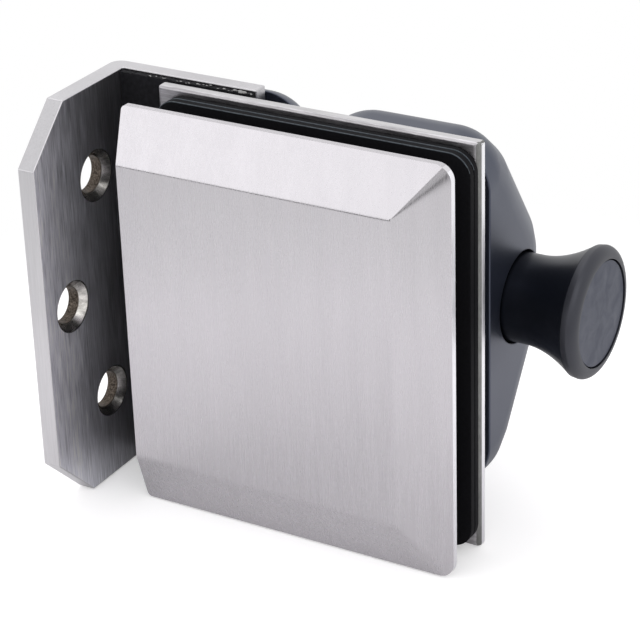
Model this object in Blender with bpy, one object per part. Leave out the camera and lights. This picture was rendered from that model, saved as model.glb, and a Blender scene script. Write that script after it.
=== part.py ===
"""Latch for a frameless glass door, hung beside a wall.

The wall half is an angle bracket with a keeper behind it. The door half is a bevelled front
cover and a back plate that clamp the glass, with a pull-knob latch body behind them. A magnet
in the latch body draws a steel pin out of the keeper; pulling the knob takes the magnet away
and the pin springs back.

Frame: X runs from the wall face along the door, Y from the front cover towards the latch body,
Z is up. The origin is the middle of the bracket's wall face. Sizes are in millimetres and are
turned into metres as each mesh is written.
"""
import math

import bmesh
import bpy
from mathutils import Matrix, Vector

MM = 0.001

# Clearances
SEAT_GAP = 0.25
SLIDE_GAP = 0.4
SCREW_GAP = 0.3
TRAVEL_GAP = 0.6
OVERCUT = 2.0

# Front cover
COVER_HEIGHT = 100.0
COVER_WIDTH = 82.0
COVER_THICK = 5.47
COVER_RIM = 1.64
COVER_OFF_WALL = 17.8
BEVEL_TOP = 13.0
BEVEL_BOTTOM = 12.5
BEVEL_SIDE = 12.65
COVER_CORNER_R = 3.8
COVER_WALL_CORNER_R = 1.0

# Angle bracket on the wall, as tall as the cover
BRACKET_HEIGHT = COVER_HEIGHT
LEG_THICK = 4.4
LEG_DEPTH = 40.6
BACK_LEG_THICK = 3.9
BACK_LEG_REACH = 40.4
BEND_OUTER_R = 3.0
BEND_INNER_R = 1.6
LEG_CHAMFER_Y = 12.8
LEG_CHAMFER_Z = 12.5
STEEL_EDGE = 0.25
WALL_HOLE_R = 4.4
WALL_SINK_R = 6.3
WALL_HOLE_SPACING = 28.0
WALL_HOLE_REAR_Y = 2.9
WALL_HOLE_FRONT_Y = -9.9

# Stack through the glass
GLASS_THICK = 8.0
COVER_GASKET_THICK = 0.5
GASKET_THICK = 1.75
GASKET_INSET = 0.4
GASKET_INSET_ENDS = 1.5
GASKET_CORNER_R = 4.8
PLATE_THICK = 2.9
PLATE_CORNER_R = 0.6
PLATE_INSET_WALL = 0.1
PLATE_INSET_KNOB = 0.8
PLATE_INSET_ENDS = 0.2
LEG_GAP = 3.1
PAD_THICK = 1.4
PAD_INSET = 0.8
PAD_CORNER_R = 1.0

# Screws that clamp the glass
CLAMP_INSET = 28.2
CLAMP_SPACING = 28.0
CLAMP_BOSS_R = 5.5
CLAMP_THREAD_R = 2.5
CLAMP_HEAD_FLARE = 2.1
CLAMP_HEAD_R = CLAMP_THREAD_R + CLAMP_HEAD_FLARE
CLAMP_LENGTH = 9.0
BUSH_WALL = 2.2
BUSH_R = CLAMP_BOSS_R + SCREW_GAP + BUSH_WALL

# Latch body and keeper: two moulded domes over one core line. Each point of the core line is
# a distance behind the back plate and a distance above and below the latch axis
AXIS_OUT = 18.0
AXIS_Z = 5.0
BODY_LENGTH = 43.2
BODY_OVERHANG = 0.2
LATCH_GAP = 5.2
EDGE_R = 12.0
DOME_WALL = 2.4
SHOULDER_OUT = 7.0
SHOULDER_HALF = 30.9
SLOPE_OUT = 20.1
SLOPE_HALF = 14.0
NOSE_OUT = 24.7
NOSE_HALF = 4.5
RIM_GROOVE = 2.1
BASE_THICK = 4.6
KEEPER_BASE_THICK = 1.9
KEEPER_BASE_GAP = 0.8

# Moving parts, from the pin in the keeper to the knob
PULL_TRAVEL = 9.0
PIN_R = 4.5
PIN_REACH = 5.8
SOCKET_DEEP = 6.6
SOCKET_FLOOR = 1.6
SOCKET_WALL = 2.2
COLLAR_STEP = 2.5
COLLAR_R = PIN_R + COLLAR_STEP
COLLAR_THICK = 2.0
CRADLE_WALL = 1.8
PIN_BUSH_WALL = 2.0
GUIDE_WALL = 1.4
PIN_BUSH_LENGTH = 6.7
PIN_FLANGE_R = 8.6
FLANGE_THICK = 1.2
CARRIAGE_R = 12.0
CARRIAGE_LENGTH = 10.2
CARRIAGE_WALL = 2.5
MAGNET_R = CARRIAGE_R - CARRIAGE_WALL
MAGNET_THICK = 5.9
SHAFT_R = 4.0
WEB_THICK = 2.0
RECESS_DEEP = 6.2
RECESS_WALL = 2.2
SHAFT_BUSH_WALL = 2.2

# Knob, whose outline runs from its neck to its face
KNOB_REACH = 19.9
NECK_R = 10.3
NECK_GAP = 0.5
NECK_LENGTH = 9.0
NECK_EDGE = 0.5
FLANGE_R = 15.3
FLANGE_STEP = 0.2
FLARE_POWER = 1.9
RIM_DEPTH = 3.4
RIM_ROUND = 2.2
RIM_WIDTH = 3.1
RIM_LIP = 0.1
DISC_R = FLANGE_R - RIM_WIDTH
DISC_THICK = 1.3
SHAFT_SET_BACK = 7.1
SCREW_FLOOR = 1.6
KNOB_SCREW_HEAD_R = 3.8
KNOB_SCREW_HEAD = 2.3
KNOB_SCREW_R = 2.0
KNOB_SCREW_LENGTH = 11.0

# Screws that hold the latch body and the keeper
BODY_SCREW_OFFSET = SHOULDER_HALF
BODY_SCREW_R = 2.0
BODY_SCREW_HEAD_FLARE = 1.7
BODY_SCREW_HEAD_R = BODY_SCREW_R + BODY_SCREW_HEAD_FLARE
BODY_SCREW_LENGTH = 13.0
KEEPER_SCREW_LENGTH = 10.6
SCREW_BOSS_WALL = 2.5
SCREW_BOSS_R = BODY_SCREW_R + SCREW_BOSS_WALL
RIB_THICK = 2.0
HEAD_EDGE = 0.3
TIP_TAPER = 0.8
KEY_R_SHARE = 0.48
KEY_DEPTH_SHARE = 0.75

# Springs
SPRING_WIRE_R = 0.4
PULL_SPRING_SPACE = 2.4
PULL_SPRING_R = SHAFT_R + PULL_SPRING_SPACE
PULL_SPRING_TURNS = 3.0
SPRING_SEAT_EDGE = 2.1
SPRING_SEAT_R = PULL_SPRING_R + SPRING_SEAT_EDGE
PIN_SPRING_SPACE = 1.1
PIN_SPRING_R = PIN_R + PIN_SPRING_SPACE
PIN_SPRING_LENGTH = 9.5
PIN_SPRING_TURNS = 6.0
COIL_GAP = 0.02

# Fineness of round forms
ROUND_STEPS = 36
SCREW_STEPS = 24
KNOB_STEPS = 40
BALL_STEPS = 24
CRADLE_STEPS = 18
BEND_STEPS = 4
FLARE_STEPS = 9
RIM_STEPS = 5
COIL_STEPS = 14
WIRE_STEPS = 6
HEXAGON_STEPS = 6
SMOOTH_ANGLE = math.radians(32)
BEVEL_SHARP_ANGLE = math.radians(13)

# Places from front to back, worked out from the bracket's rear leg forwards
BRACKET_REAR_Y = LEG_DEPTH / 2
BACK_LEG_FRONT_Y = BRACKET_REAR_Y - BACK_LEG_THICK
PLATE_REAR_Y = BACK_LEG_FRONT_Y - LEG_GAP
PLATE_FRONT_Y = PLATE_REAR_Y - PLATE_THICK
INNER_GASKET_Y = PLATE_FRONT_Y - SEAT_GAP - GASKET_THICK
GLASS_REAR_Y = INNER_GASKET_Y - SEAT_GAP - GASKET_THICK
GLASS_FRONT_Y = GLASS_REAR_Y - GLASS_THICK
COVER_GASKET_Y = GLASS_FRONT_Y - COVER_GASKET_THICK
COVER_REAR_Y = COVER_GASKET_Y - SEAT_GAP
COVER_RIM_Y = COVER_REAR_Y - COVER_RIM
COVER_FLAT_Y = COVER_REAR_Y - COVER_THICK
BODY_BASE_Y = PLATE_REAR_Y + SEAT_GAP
BODY_RIM_Y = PLATE_REAR_Y + RIM_GROOVE
KEEPER_BASE_Y = BRACKET_REAR_Y + SEAT_GAP
KEEPER_RIM_Y = BRACKET_REAR_Y + RIM_GROOVE
AXIS_Y = PLATE_REAR_Y + AXIS_OUT
NOSE_Y = PLATE_REAR_Y + NOSE_OUT
LATCH_LINE = (0.0, AXIS_Y, AXIS_Z)

# Places from the wall to the knob
COVER_END_X = COVER_OFF_WALL + COVER_WIDTH
PLATE_X = COVER_OFF_WALL + PLATE_INSET_WALL
PLATE_END_X = COVER_END_X - PLATE_INSET_KNOB
PLATE_HALF = COVER_HEIGHT / 2 - PLATE_INSET_ENDS
CLAMP_X = COVER_OFF_WALL + CLAMP_INSET
BODY_END_X = PLATE_END_X + BODY_OVERHANG
BODY_START_X = BODY_END_X - BODY_LENGTH
KEEPER_END_X = BODY_START_X - LATCH_GAP
KEEPER_START_X = KEEPER_END_X - BODY_LENGTH
BODY_MIDDLE_X = (BODY_START_X + BODY_END_X) / 2
KEEPER_MIDDLE_X = (KEEPER_START_X + KEEPER_END_X) / 2
RECESS_FLOOR_X = BODY_END_X - RECESS_DEEP
WEB_X = RECESS_FLOOR_X - WEB_THICK
SOCKET_END_X = BODY_START_X + SOCKET_DEEP
CARRIAGE_X = SOCKET_END_X + SOCKET_FLOOR + TRAVEL_GAP
CARRIAGE_END_X = CARRIAGE_X + CARRIAGE_LENGTH
BUSH_FLANGE_X = WEB_X - SEAT_GAP - FLANGE_THICK
PIN_BUSH_X = KEEPER_END_X - PIN_BUSH_LENGTH
PIN_END_X = BODY_START_X + PIN_REACH
COLLAR_X = PIN_BUSH_X - PIN_SPRING_LENGTH - 2 * SEAT_GAP - COLLAR_THICK
KNOB_START_X = RECESS_FLOOR_X + TRAVEL_GAP
KNOB_FACE_X = BODY_END_X + KNOB_REACH
SHAFT_END_X = KNOB_FACE_X - SHAFT_SET_BACK
DISC_SEAT_X = KNOB_FACE_X - DISC_THICK - 2 * SEAT_GAP
SIDES = (("lower", -1), ("upper", 1))


def clear_scene():
    for old in list(bpy.data.objects):
        bpy.data.objects.remove(old, do_unlink=True)


def material(name, colour, roughness, metallic=0.0):
    made = bpy.data.materials.new(name)
    made.use_nodes = True
    shader = made.node_tree.nodes["Principled BSDF"]
    shader.inputs["Base Color"].default_value = (*colour, 1.0)
    shader.inputs["Roughness"].default_value = roughness
    shader.inputs["Metallic"].default_value = metallic
    return made


def add_object(name, bm, finish=None, sharp_from=SMOOTH_ANGLE):
    """Write a mesh drawn in millimetres as an object in metres."""
    bmesh.ops.recalc_face_normals(bm, faces=bm.faces)
    bm.transform(Matrix.Scale(MM, 4))
    mesh = bpy.data.meshes.new(name)
    bm.to_mesh(mesh)
    bm.free()
    mesh.shade_smooth()
    mesh.set_sharp_from_angle(angle=sharp_from)
    made = bpy.data.objects.new(name, mesh)
    if finish:
        mesh.materials.append(finish)
    else:
        made.hide_render = True
        made.display_type = "WIRE"
    bpy.context.scene.collection.objects.link(made)
    return made


def boolean(target, operation, tools):
    for tool in tools:
        step = target.modifiers.new(tool.name, "BOOLEAN")
        step.operation = operation
        step.solver = "EXACT"
        step.object = tool
    return target


def cut(target, *tools):
    return boolean(target, "DIFFERENCE", tools)


def join(target, *tools):
    return boolean(target, "UNION", tools)


def rounded_outline(x0, x1, z0, z1, radii, steps=5):
    """Corner points of a rectangle, with one radius for each corner from the lower left round."""
    corners = ((x0, z0, 1, 1, 180), (x1, z0, -1, 1, 270), (x1, z1, -1, -1, 0), (x0, z1, 1, -1, 90))
    points = []
    for (x, z, toward_x, toward_z, start), radius in zip(corners, radii):
        centre_x = x + toward_x * radius
        centre_z = z + toward_z * radius
        for step in range(steps + 1):
            angle = math.radians(start + 90 * step / steps)
            points.append((centre_x + radius * math.cos(angle), centre_z + radius * math.sin(angle)))
    return points


def prism_mesh(outline, start, end, axis="Y"):
    """Extrude an outline along an axis; its points give the other two axes in X, Y, Z order."""
    slot = "XYZ".index(axis)
    bm = bmesh.new()
    rings = []
    for along in (start, end):
        rings.append([bm.verts.new((*point[:slot], along, *point[slot:])) for point in outline])
    count = len(outline)
    for step in range(count):
        after = (step + 1) % count
        bm.faces.new((rings[0][step], rings[0][after], rings[1][after], rings[1][step]))
    for ring in rings:
        bm.faces.new(ring)
    bmesh.ops.recalc_face_normals(bm, faces=bm.faces)
    return bm


def box_mesh(x0, x1, y0, y1, z0, z1):
    return prism_mesh([(x0, z0), (x1, z0), (x1, z1), (x0, z1)], y0, y1)


def turned_mesh(profile, axis, steps, ring):
    """Turn (distance, radius) points about an axis: a solid with flat ends, or a closed ring."""
    bm = bmesh.new()
    hoops = []
    for along, radius in profile:
        hoop = []
        for step in range(steps):
            angle = 2 * math.pi * step / steps
            across = (radius * math.cos(angle), radius * math.sin(angle))
            place = (along, *across) if axis == "X" else (across[0], along, across[1])
            hoop.append(bm.verts.new(place))
        hoops.append(hoop)
    pairs = list(zip(hoops, hoops[1:]))
    if ring:
        pairs.append((hoops[-1], hoops[0]))
    else:
        bm.faces.new(hoops[0])
        bm.faces.new(hoops[-1])
    for first, second in pairs:
        for step in range(steps):
            after = (step + 1) % steps
            bm.faces.new((first[step], first[after], second[after], second[step]))
    return bm


def turned(name, profile, finish=None, axis="X", at=(0, 0, 0), steps=ROUND_STEPS, ring=False):
    made = add_object(name, turned_mesh(profile, axis, steps, ring), finish)
    made.location = Vector(at) * MM
    return made


def rod(name, start, end, radius, finish=None, axis="X", at=(0, 0, 0), steps=ROUND_STEPS):
    return turned(name, [(start, radius), (end, radius)], finish, axis, at, steps)


def axis_rod(name, start, end, radius):
    """A cutter or a fill along the line that the pin, the magnet and the knob share."""
    return rod(name, start, end, radius, None, "X", LATCH_LINE)


def cross_rod(name, x, z, start, end, radius):
    """A cutter or a fill that runs from front to back."""
    return rod(name, start, end, radius, None, "Y", (x, 0, z), SCREW_STEPS)


def slice_off(bm, point, normal):
    """Cut a closed mesh with a plane and close it again, leaving out the side of the normal."""
    geometry = bm.verts[:] + bm.edges[:] + bm.faces[:]
    found = bmesh.ops.bisect_plane(bm, geom=geometry, plane_co=point, plane_no=normal, clear_outer=True)
    edges = [item for item in found["geom_cut"] if isinstance(item, bmesh.types.BMEdge)]
    bmesh.ops.contextual_create(bm, geom=edges)


def soften(target, width):
    step = target.modifiers.new("edge", "BEVEL")
    step.width = width * MM
    step.segments = 1
    step.limit_method = "ANGLE"
    step.angle_limit = math.radians(25)


def screw(name, at, head_r, shank_r, length, points_rear, finish):
    """A countersunk screw along Y with a hexagon socket; its head's face is at the given place."""
    way = 1 if points_rear else -1
    head_deep = HEAD_EDGE + head_r - shank_r
    profile = [(0, head_r), (way * HEAD_EDGE, head_r), (way * head_deep, shank_r)]
    profile += [(way * (length - TIP_TAPER), shank_r), (way * length, shank_r - TIP_TAPER)]
    made = turned(name, profile, finish, "Y", at, SCREW_STEPS)
    socket = rod("cut_key_" + name, -way * OVERCUT, way * KEY_DEPTH_SHARE * head_deep, KEY_R_SHARE * head_r,
                 None, "Y", at, HEXAGON_STEPS)
    cut(made, socket)


def countersink(name, at, hole_r, sink_r, axis, thick):
    """Cutter for a hole through a plate, sunk at 45 degrees on the side that the axis points to."""
    deep = sink_r - hole_r
    profile = [(-thick - OVERCUT, hole_r), (-deep, hole_r), (OVERCUT, sink_r + OVERCUT)]
    if axis == "-Y":
        profile = [(-along, radius) for along, radius in profile]
    return turned(name, profile, None, axis[-1], at, SCREW_STEPS)


def screw_seat(name, at, head_r, shank_r, axis, thick):
    """Cutter for a countersunk screw's hole, with the same gap all round the screw."""
    return countersink(name, at, shank_r + SCREW_GAP, head_r + HEAD_EDGE + SCREW_GAP, axis, thick)


def coil(name, start_x, end_x, radius, turns, finish):
    """A helical spring about the latch axis, with one flat coil at each end."""
    flat_rise = 2 * SPRING_WIRE_R + COIL_GAP
    low = start_x + SPRING_WIRE_R
    high = end_x - SPRING_WIRE_R
    pitch = (high - low - 2 * flat_rise) / turns
    bm = bmesh.new()
    hoops = []
    for step in range(int(COIL_STEPS * (turns + 2)) + 1):
        turn = step / COIL_STEPS
        if turn < 1:
            along = low + flat_rise * turn
        elif turn > turns + 1:
            along = high - flat_rise * (turns + 2 - turn)
        else:
            along = low + flat_rise + pitch * (turn - 1)
        angle = 2 * math.pi * turn
        hoop = []
        for side in range(WIRE_STEPS):
            around = 2 * math.pi * side / WIRE_STEPS
            out = radius + SPRING_WIRE_R * math.cos(around)
            place = (along + SPRING_WIRE_R * math.sin(around), out * math.cos(angle), out * math.sin(angle))
            hoop.append(bm.verts.new(place))
        hoops.append(hoop)
    for first, second in zip(hoops, hoops[1:]):
        for side in range(WIRE_STEPS):
            after = (side + 1) % WIRE_STEPS
            bm.faces.new((first[side], first[after], second[after], second[side]))
    bm.faces.new(hoops[0])
    bm.faces.new(hoops[-1])
    made = add_object(name, bm, finish)
    made.location = Vector(LATCH_LINE) * MM
    return made


def dome_mesh(x0, x1, front_y, wall):
    """Skin of a dome: the hull of balls set along the core line, smaller by the wall inside."""
    ball_r = EDGE_R - wall
    core = ((front_y, SHOULDER_HALF), (PLATE_REAR_Y + SHOULDER_OUT, SHOULDER_HALF),
            (PLATE_REAR_Y + SLOPE_OUT, SLOPE_HALF), (NOSE_Y, NOSE_HALF))
    bm = bmesh.new()
    for x in (x0 + EDGE_R, x1 - EDGE_R):
        for depth, half in core:
            for side in (-1, 1):
                middle = Vector((x, depth, AXIS_Z + side * half))
                spin = Matrix.Rotation(math.pi / 2, 4, "X")
                bmesh.ops.create_uvsphere(bm, u_segments=BALL_STEPS, v_segments=BALL_STEPS // 2,
                                          radius=ball_r, matrix=Matrix.Translation(middle) @ spin)
    skin = bmesh.new()
    for vert in bm.verts:
        skin.verts.new(vert.co)
    bm.free()
    found = bmesh.ops.convex_hull(skin, input=skin.verts)
    inside = set(found["geom_interior"]) | set(found["geom_unused"])
    spare = [item for item in inside if isinstance(item, bmesh.types.BMVert)]
    bmesh.ops.delete(skin, geom=spare, context="VERTS")
    bmesh.ops.dissolve_limit(skin, angle_limit=0.002, verts=skin.verts, edges=skin.edges)
    return skin


def dome(name, x0, x1, rim_y, finish, fills):
    """A moulded cap, open at its rim; the fills are kept solid inside it."""
    skin = dome_mesh(x0, x1, rim_y - EDGE_R, 0)
    slice_off(skin, (0, rim_y, 0), (0, -1, 0))
    made = add_object(name, skin, finish)
    hollow = add_object("cut_hollow_" + name, dome_mesh(x0, x1, rim_y - EDGE_R, DOME_WALL))
    cut(hollow, *fills)
    return cut(made, hollow)


def base_plate(name, x0, x1, y0, thick, gap, finish):
    """The plate that closes a dome's mouth; its outline follows the dome's inner wall."""
    inset = DOME_WALL + gap
    half = SHOULDER_HALF + EDGE_R - inset
    corner = EDGE_R - inset
    outline = rounded_outline(x0 + inset, x1 - inset, AXIS_Z - half, AXIS_Z + half, (corner,) * 4)
    return add_object(name, prism_mesh(outline, y0, y0 + thick), finish)


def build_bracket(steel):
    half = BRACKET_HEIGHT / 2
    plan = [(0, -BRACKET_REAR_Y), (LEG_THICK, -BRACKET_REAR_Y)]
    for step in range(BEND_STEPS + 1):
        angle = math.radians(180 - 90 * step / BEND_STEPS)
        x = LEG_THICK + BEND_INNER_R + BEND_INNER_R * math.cos(angle)
        plan.append((x, BACK_LEG_FRONT_Y - BEND_INNER_R + BEND_INNER_R * math.sin(angle)))
    plan += [(BACK_LEG_REACH, BACK_LEG_FRONT_Y), (BACK_LEG_REACH, BRACKET_REAR_Y)]
    for step in range(BEND_STEPS + 1):
        angle = math.radians(90 + 90 * step / BEND_STEPS)
        x = BEND_OUTER_R + BEND_OUTER_R * math.cos(angle)
        plan.append((x, BRACKET_REAR_Y - BEND_OUTER_R + BEND_OUTER_R * math.sin(angle)))
    bm = prism_mesh(plan, -half, half, "Z")
    for side in (-1, 1):
        corner = (0, -BRACKET_REAR_Y, side * (half - LEG_CHAMFER_Z))
        slice_off(bm, corner, (0, -LEG_CHAMFER_Z, side * LEG_CHAMFER_Y))
    bracket = add_object("wall_bracket", bm, steel)
    soften(bracket, STEEL_EDGE)
    for row in (-1, 0, 1):
        y = WALL_HOLE_REAR_Y if row else WALL_HOLE_FRONT_Y
        place = (LEG_THICK, y, row * WALL_HOLE_SPACING)
        cut(bracket, countersink(f"cut_wall_hole_{row}", place, WALL_HOLE_R, WALL_SINK_R, "X", LEG_THICK))
    for word, side in SIDES:
        place = (KEEPER_MIDDLE_X, BACK_LEG_FRONT_Y, AXIS_Z + side * BODY_SCREW_OFFSET)
        cut(bracket, screw_seat(f"cut_keeper_seat_{word}", place, BODY_SCREW_HEAD_R, BODY_SCREW_R, "-Y",
                                BACK_LEG_THICK))


def build_stop_pad(rubber):
    """The rubber sheet on the bracket's back leg that the closing door meets."""
    half = BRACKET_HEIGHT / 2 - PAD_INSET
    outline = rounded_outline(LEG_THICK + BEND_INNER_R + SEAT_GAP, BACK_LEG_REACH - PAD_INSET, -half, half,
                              (PAD_CORNER_R,) * 4, 3)
    rear = BACK_LEG_FRONT_Y - SEAT_GAP
    add_object("stop_pad", prism_mesh(outline, rear - PAD_THICK, rear), rubber)


def build_cover(steel):
    """Front cover: bevelled on three sides, straight on the side by the wall, with two bosses."""
    half = COVER_HEIGHT / 2
    radii = (COVER_WALL_CORNER_R, COVER_CORNER_R, COVER_CORNER_R, COVER_WALL_CORNER_R)
    outline = rounded_outline(COVER_OFF_WALL, COVER_END_X, -half, half, radii, 8)
    bm = prism_mesh(outline, COVER_FLAT_Y, COVER_REAR_Y)
    rise = COVER_RIM_Y - COVER_FLAT_Y
    slice_off(bm, (0, COVER_RIM_Y, half), (0, -BEVEL_TOP, rise))
    slice_off(bm, (0, COVER_RIM_Y, -half), (0, -BEVEL_BOTTOM, -rise))
    slice_off(bm, (COVER_END_X, COVER_RIM_Y, 0), (rise, -BEVEL_SIDE, 0))
    cover = add_object("front_cover", bm, steel, BEVEL_SHARP_ANGLE)
    root = COVER_REAR_Y - COVER_RIM / 2
    boss_end = PLATE_FRONT_Y - SEAT_GAP
    for word, side in SIDES:
        z = side * CLAMP_SPACING
        join(cover, cross_rod(f"add_boss_{word}", CLAMP_X, z, root, boss_end, CLAMP_BOSS_R))
        cut(cover, cross_rod(f"cut_thread_{word}", CLAMP_X, z, COVER_REAR_Y, boss_end + OVERCUT,
                             CLAMP_THREAD_R + SCREW_GAP))


def build_gasket(name, y0, thick, inset_ends, rubber):
    """A rubber sheet a little smaller than the plate, with a hole round each clamp boss and its bush."""
    half = PLATE_HALF - inset_ends
    outline = rounded_outline(PLATE_X + GASKET_INSET, PLATE_END_X - GASKET_INSET, -half, half,
                              (GASKET_CORNER_R,) * 4, 6)
    gasket = add_object(name, prism_mesh(outline, y0, y0 + thick), rubber)
    for word, side in SIDES:
        cut(gasket, cross_rod(f"cut_{name}_{word}", CLAMP_X, side * CLAMP_SPACING, y0 - OVERCUT,
                              y0 + thick + OVERCUT, BUSH_R + SCREW_GAP))


def build_back_plate(steel):
    outline = rounded_outline(PLATE_X, PLATE_END_X, -PLATE_HALF, PLATE_HALF, (PLATE_CORNER_R,) * 4, 2)
    plate = add_object("back_plate", prism_mesh(outline, PLATE_FRONT_Y, PLATE_REAR_Y), steel)
    soften(plate, STEEL_EDGE)
    for word, side in SIDES:
        clamp = (CLAMP_X, PLATE_REAR_Y, side * CLAMP_SPACING)
        body = (BODY_MIDDLE_X, PLATE_FRONT_Y, AXIS_Z + side * BODY_SCREW_OFFSET)
        cut(plate,
            screw_seat(f"cut_clamp_seat_{word}", clamp, CLAMP_HEAD_R, CLAMP_THREAD_R, "Y", PLATE_THICK),
            screw_seat(f"cut_body_seat_{word}", body, BODY_SCREW_HEAD_R, BODY_SCREW_R, "-Y", PLATE_THICK))


def build_clamp(steel, nylon):
    for word, side in SIDES:
        place = (CLAMP_X, 0, side * CLAMP_SPACING)
        head = (CLAMP_X, PLATE_REAR_Y, side * CLAMP_SPACING)
        screw(f"clamp_screw_{word}", head, CLAMP_HEAD_R, CLAMP_THREAD_R, CLAMP_LENGTH, False, steel)
        inner = CLAMP_BOSS_R + SCREW_GAP
        start = GLASS_FRONT_Y + SEAT_GAP
        end = GLASS_REAR_Y - SEAT_GAP
        turned(f"glass_bush_{word}", [(start, inner), (start, BUSH_R), (end, BUSH_R), (end, inner)], nylon,
               "Y", place, SCREW_STEPS, True)


def half_sleeve(name, start, end, inner, outer):
    """The rear half of a sleeve about the latch axis, which cradles a sliding piece."""
    steps = CRADLE_STEPS
    outline = []
    for radius, order in ((outer, range(steps + 1)), (inner, range(steps, -1, -1))):
        for step in order:
            angle = math.pi * step / steps
            outline.append((AXIS_Y + radius * math.sin(angle), AXIS_Z + radius * math.cos(angle)))
    return add_object(name, prism_mesh(outline, start, end, "X"))


def fasten(name, dome_piece, base, x, base_y, base_thick, head_y, length, steel):
    """Two screws that run from a steel plate through a base into the bosses of its dome."""
    hole_r = BODY_SCREW_R + SCREW_GAP
    pilot_end = head_y + length + SCREW_GAP
    base_end = base_y + base_thick
    for word, side in SIDES:
        z = AXIS_Z + side * BODY_SCREW_OFFSET
        cut(dome_piece, cross_rod(f"cut_{name}_pilot_{word}", x, z, base_y, pilot_end, hole_r))
        cut(base, cross_rod(f"cut_{name}_base_{word}", x, z, base_y - OVERCUT, base_end + OVERCUT, hole_r))
        screw(f"{name}_screw_{word}", (x, head_y, z), BODY_SCREW_HEAD_R, BODY_SCREW_R, length, True, steel)


def screw_bosses(name, x, start_y):
    """Solid posts inside a dome, from just above its base to its outer wall."""
    end_y = NOSE_Y + EDGE_R
    bosses = []
    for word, side in SIDES:
        z = AXIS_Z + side * BODY_SCREW_OFFSET
        bosses.append(cross_rod(f"add_{name}_boss_{word}", x, z, start_y, end_y, SCREW_BOSS_R))
    return bosses


def build_latch_body(plastic, nylon, steel):
    wall_x = BODY_START_X + DOME_WALL / 2
    far_wall_x = BODY_END_X - DOME_WALL / 2
    socket_r = PIN_R + SLIDE_GAP
    recess_r = NECK_R + NECK_GAP
    cradle_r = CARRIAGE_R + SLIDE_GAP
    bush_r = SHAFT_R + SCREW_GAP + SHAFT_BUSH_WALL
    fills = [axis_rod("add_socket", wall_x, SOCKET_END_X + SOCKET_FLOOR, socket_r + SOCKET_WALL),
             axis_rod("add_recess", WEB_X, far_wall_x, recess_r + RECESS_WALL),
             half_sleeve("add_cradle", wall_x, WEB_X + WEB_THICK / 2, cradle_r, cradle_r + CRADLE_WALL)]
    fills += screw_bosses("body", BODY_MIDDLE_X, BODY_BASE_Y + BASE_THICK + SEAT_GAP)
    body = dome("latch_housing", BODY_START_X, BODY_END_X, BODY_RIM_Y, plastic, fills)
    cut(body,
        axis_rod("cut_socket", BODY_START_X - OVERCUT, SOCKET_END_X, socket_r),
        axis_rod("cut_recess", RECESS_FLOOR_X, BODY_END_X + OVERCUT, recess_r),
        axis_rod("cut_web", WEB_X - OVERCUT, RECESS_FLOOR_X + OVERCUT, bush_r + SEAT_GAP))
    base = base_plate("housing_base", BODY_START_X, BODY_END_X, BODY_BASE_Y, BASE_THICK, SEAT_GAP, plastic)
    fasten("housing", body, base, BODY_MIDDLE_X, BODY_BASE_Y, BASE_THICK, PLATE_FRONT_Y,
           BODY_SCREW_LENGTH, steel)
    inner = SHAFT_R + SCREW_GAP
    profile = [(BUSH_FLANGE_X, inner), (BUSH_FLANGE_X, SPRING_SEAT_R), (WEB_X - SEAT_GAP, SPRING_SEAT_R)]
    profile += [(WEB_X - SEAT_GAP, bush_r), (RECESS_FLOOR_X, bush_r), (RECESS_FLOOR_X, inner)]
    turned("shaft_bush", profile, nylon, "X", LATCH_LINE, SCREW_STEPS, True)


def build_keeper(plastic, nylon, steel):
    wall_x = KEEPER_END_X - DOME_WALL / 2
    bush_r = PIN_R + SCREW_GAP + PIN_BUSH_WALL
    cradle_r = COLLAR_R + SLIDE_GAP
    cradle_x = COLLAR_X - PULL_TRAVEL - OVERCUT
    cradle_end = PIN_BUSH_X + GUIDE_WALL
    rib_y = AXIS_Y + cradle_r + CRADLE_WALL / 2
    rib = box_mesh(cradle_x + RIB_THICK, PIN_BUSH_X, rib_y, NOSE_Y + EDGE_R, AXIS_Z - RIB_THICK / 2,
                   AXIS_Z + RIB_THICK / 2)
    fills = [axis_rod("add_guide", PIN_BUSH_X, wall_x, bush_r + SCREW_GAP + GUIDE_WALL),
             half_sleeve("add_pin_cradle", cradle_x, cradle_end, cradle_r, cradle_r + CRADLE_WALL),
             add_object("add_rib", rib)]
    fills += screw_bosses("keeper", KEEPER_MIDDLE_X, KEEPER_BASE_Y + KEEPER_BASE_THICK + SEAT_GAP)
    keeper = dome("keeper_housing", KEEPER_START_X, KEEPER_END_X, KEEPER_RIM_Y, plastic, fills)
    cut(keeper, axis_rod("cut_guide", PIN_BUSH_X - OVERCUT, KEEPER_END_X + OVERCUT, bush_r + SEAT_GAP))
    base = base_plate("keeper_base", KEEPER_START_X, KEEPER_END_X, KEEPER_BASE_Y, KEEPER_BASE_THICK,
                      KEEPER_BASE_GAP, plastic)
    fasten("keeper", keeper, base, KEEPER_MIDDLE_X, KEEPER_BASE_Y, KEEPER_BASE_THICK, BACK_LEG_FRONT_Y,
           KEEPER_SCREW_LENGTH, steel)
    inner = PIN_R + SCREW_GAP
    flange_x = KEEPER_END_X + SEAT_GAP
    profile = [(PIN_BUSH_X, inner), (PIN_BUSH_X, bush_r), (flange_x, bush_r), (flange_x, PIN_FLANGE_R)]
    profile += [(flange_x + FLANGE_THICK, PIN_FLANGE_R), (flange_x + FLANGE_THICK, inner)]
    turned("pin_bush", profile, nylon, "X", LATCH_LINE, SCREW_STEPS, True)


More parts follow.
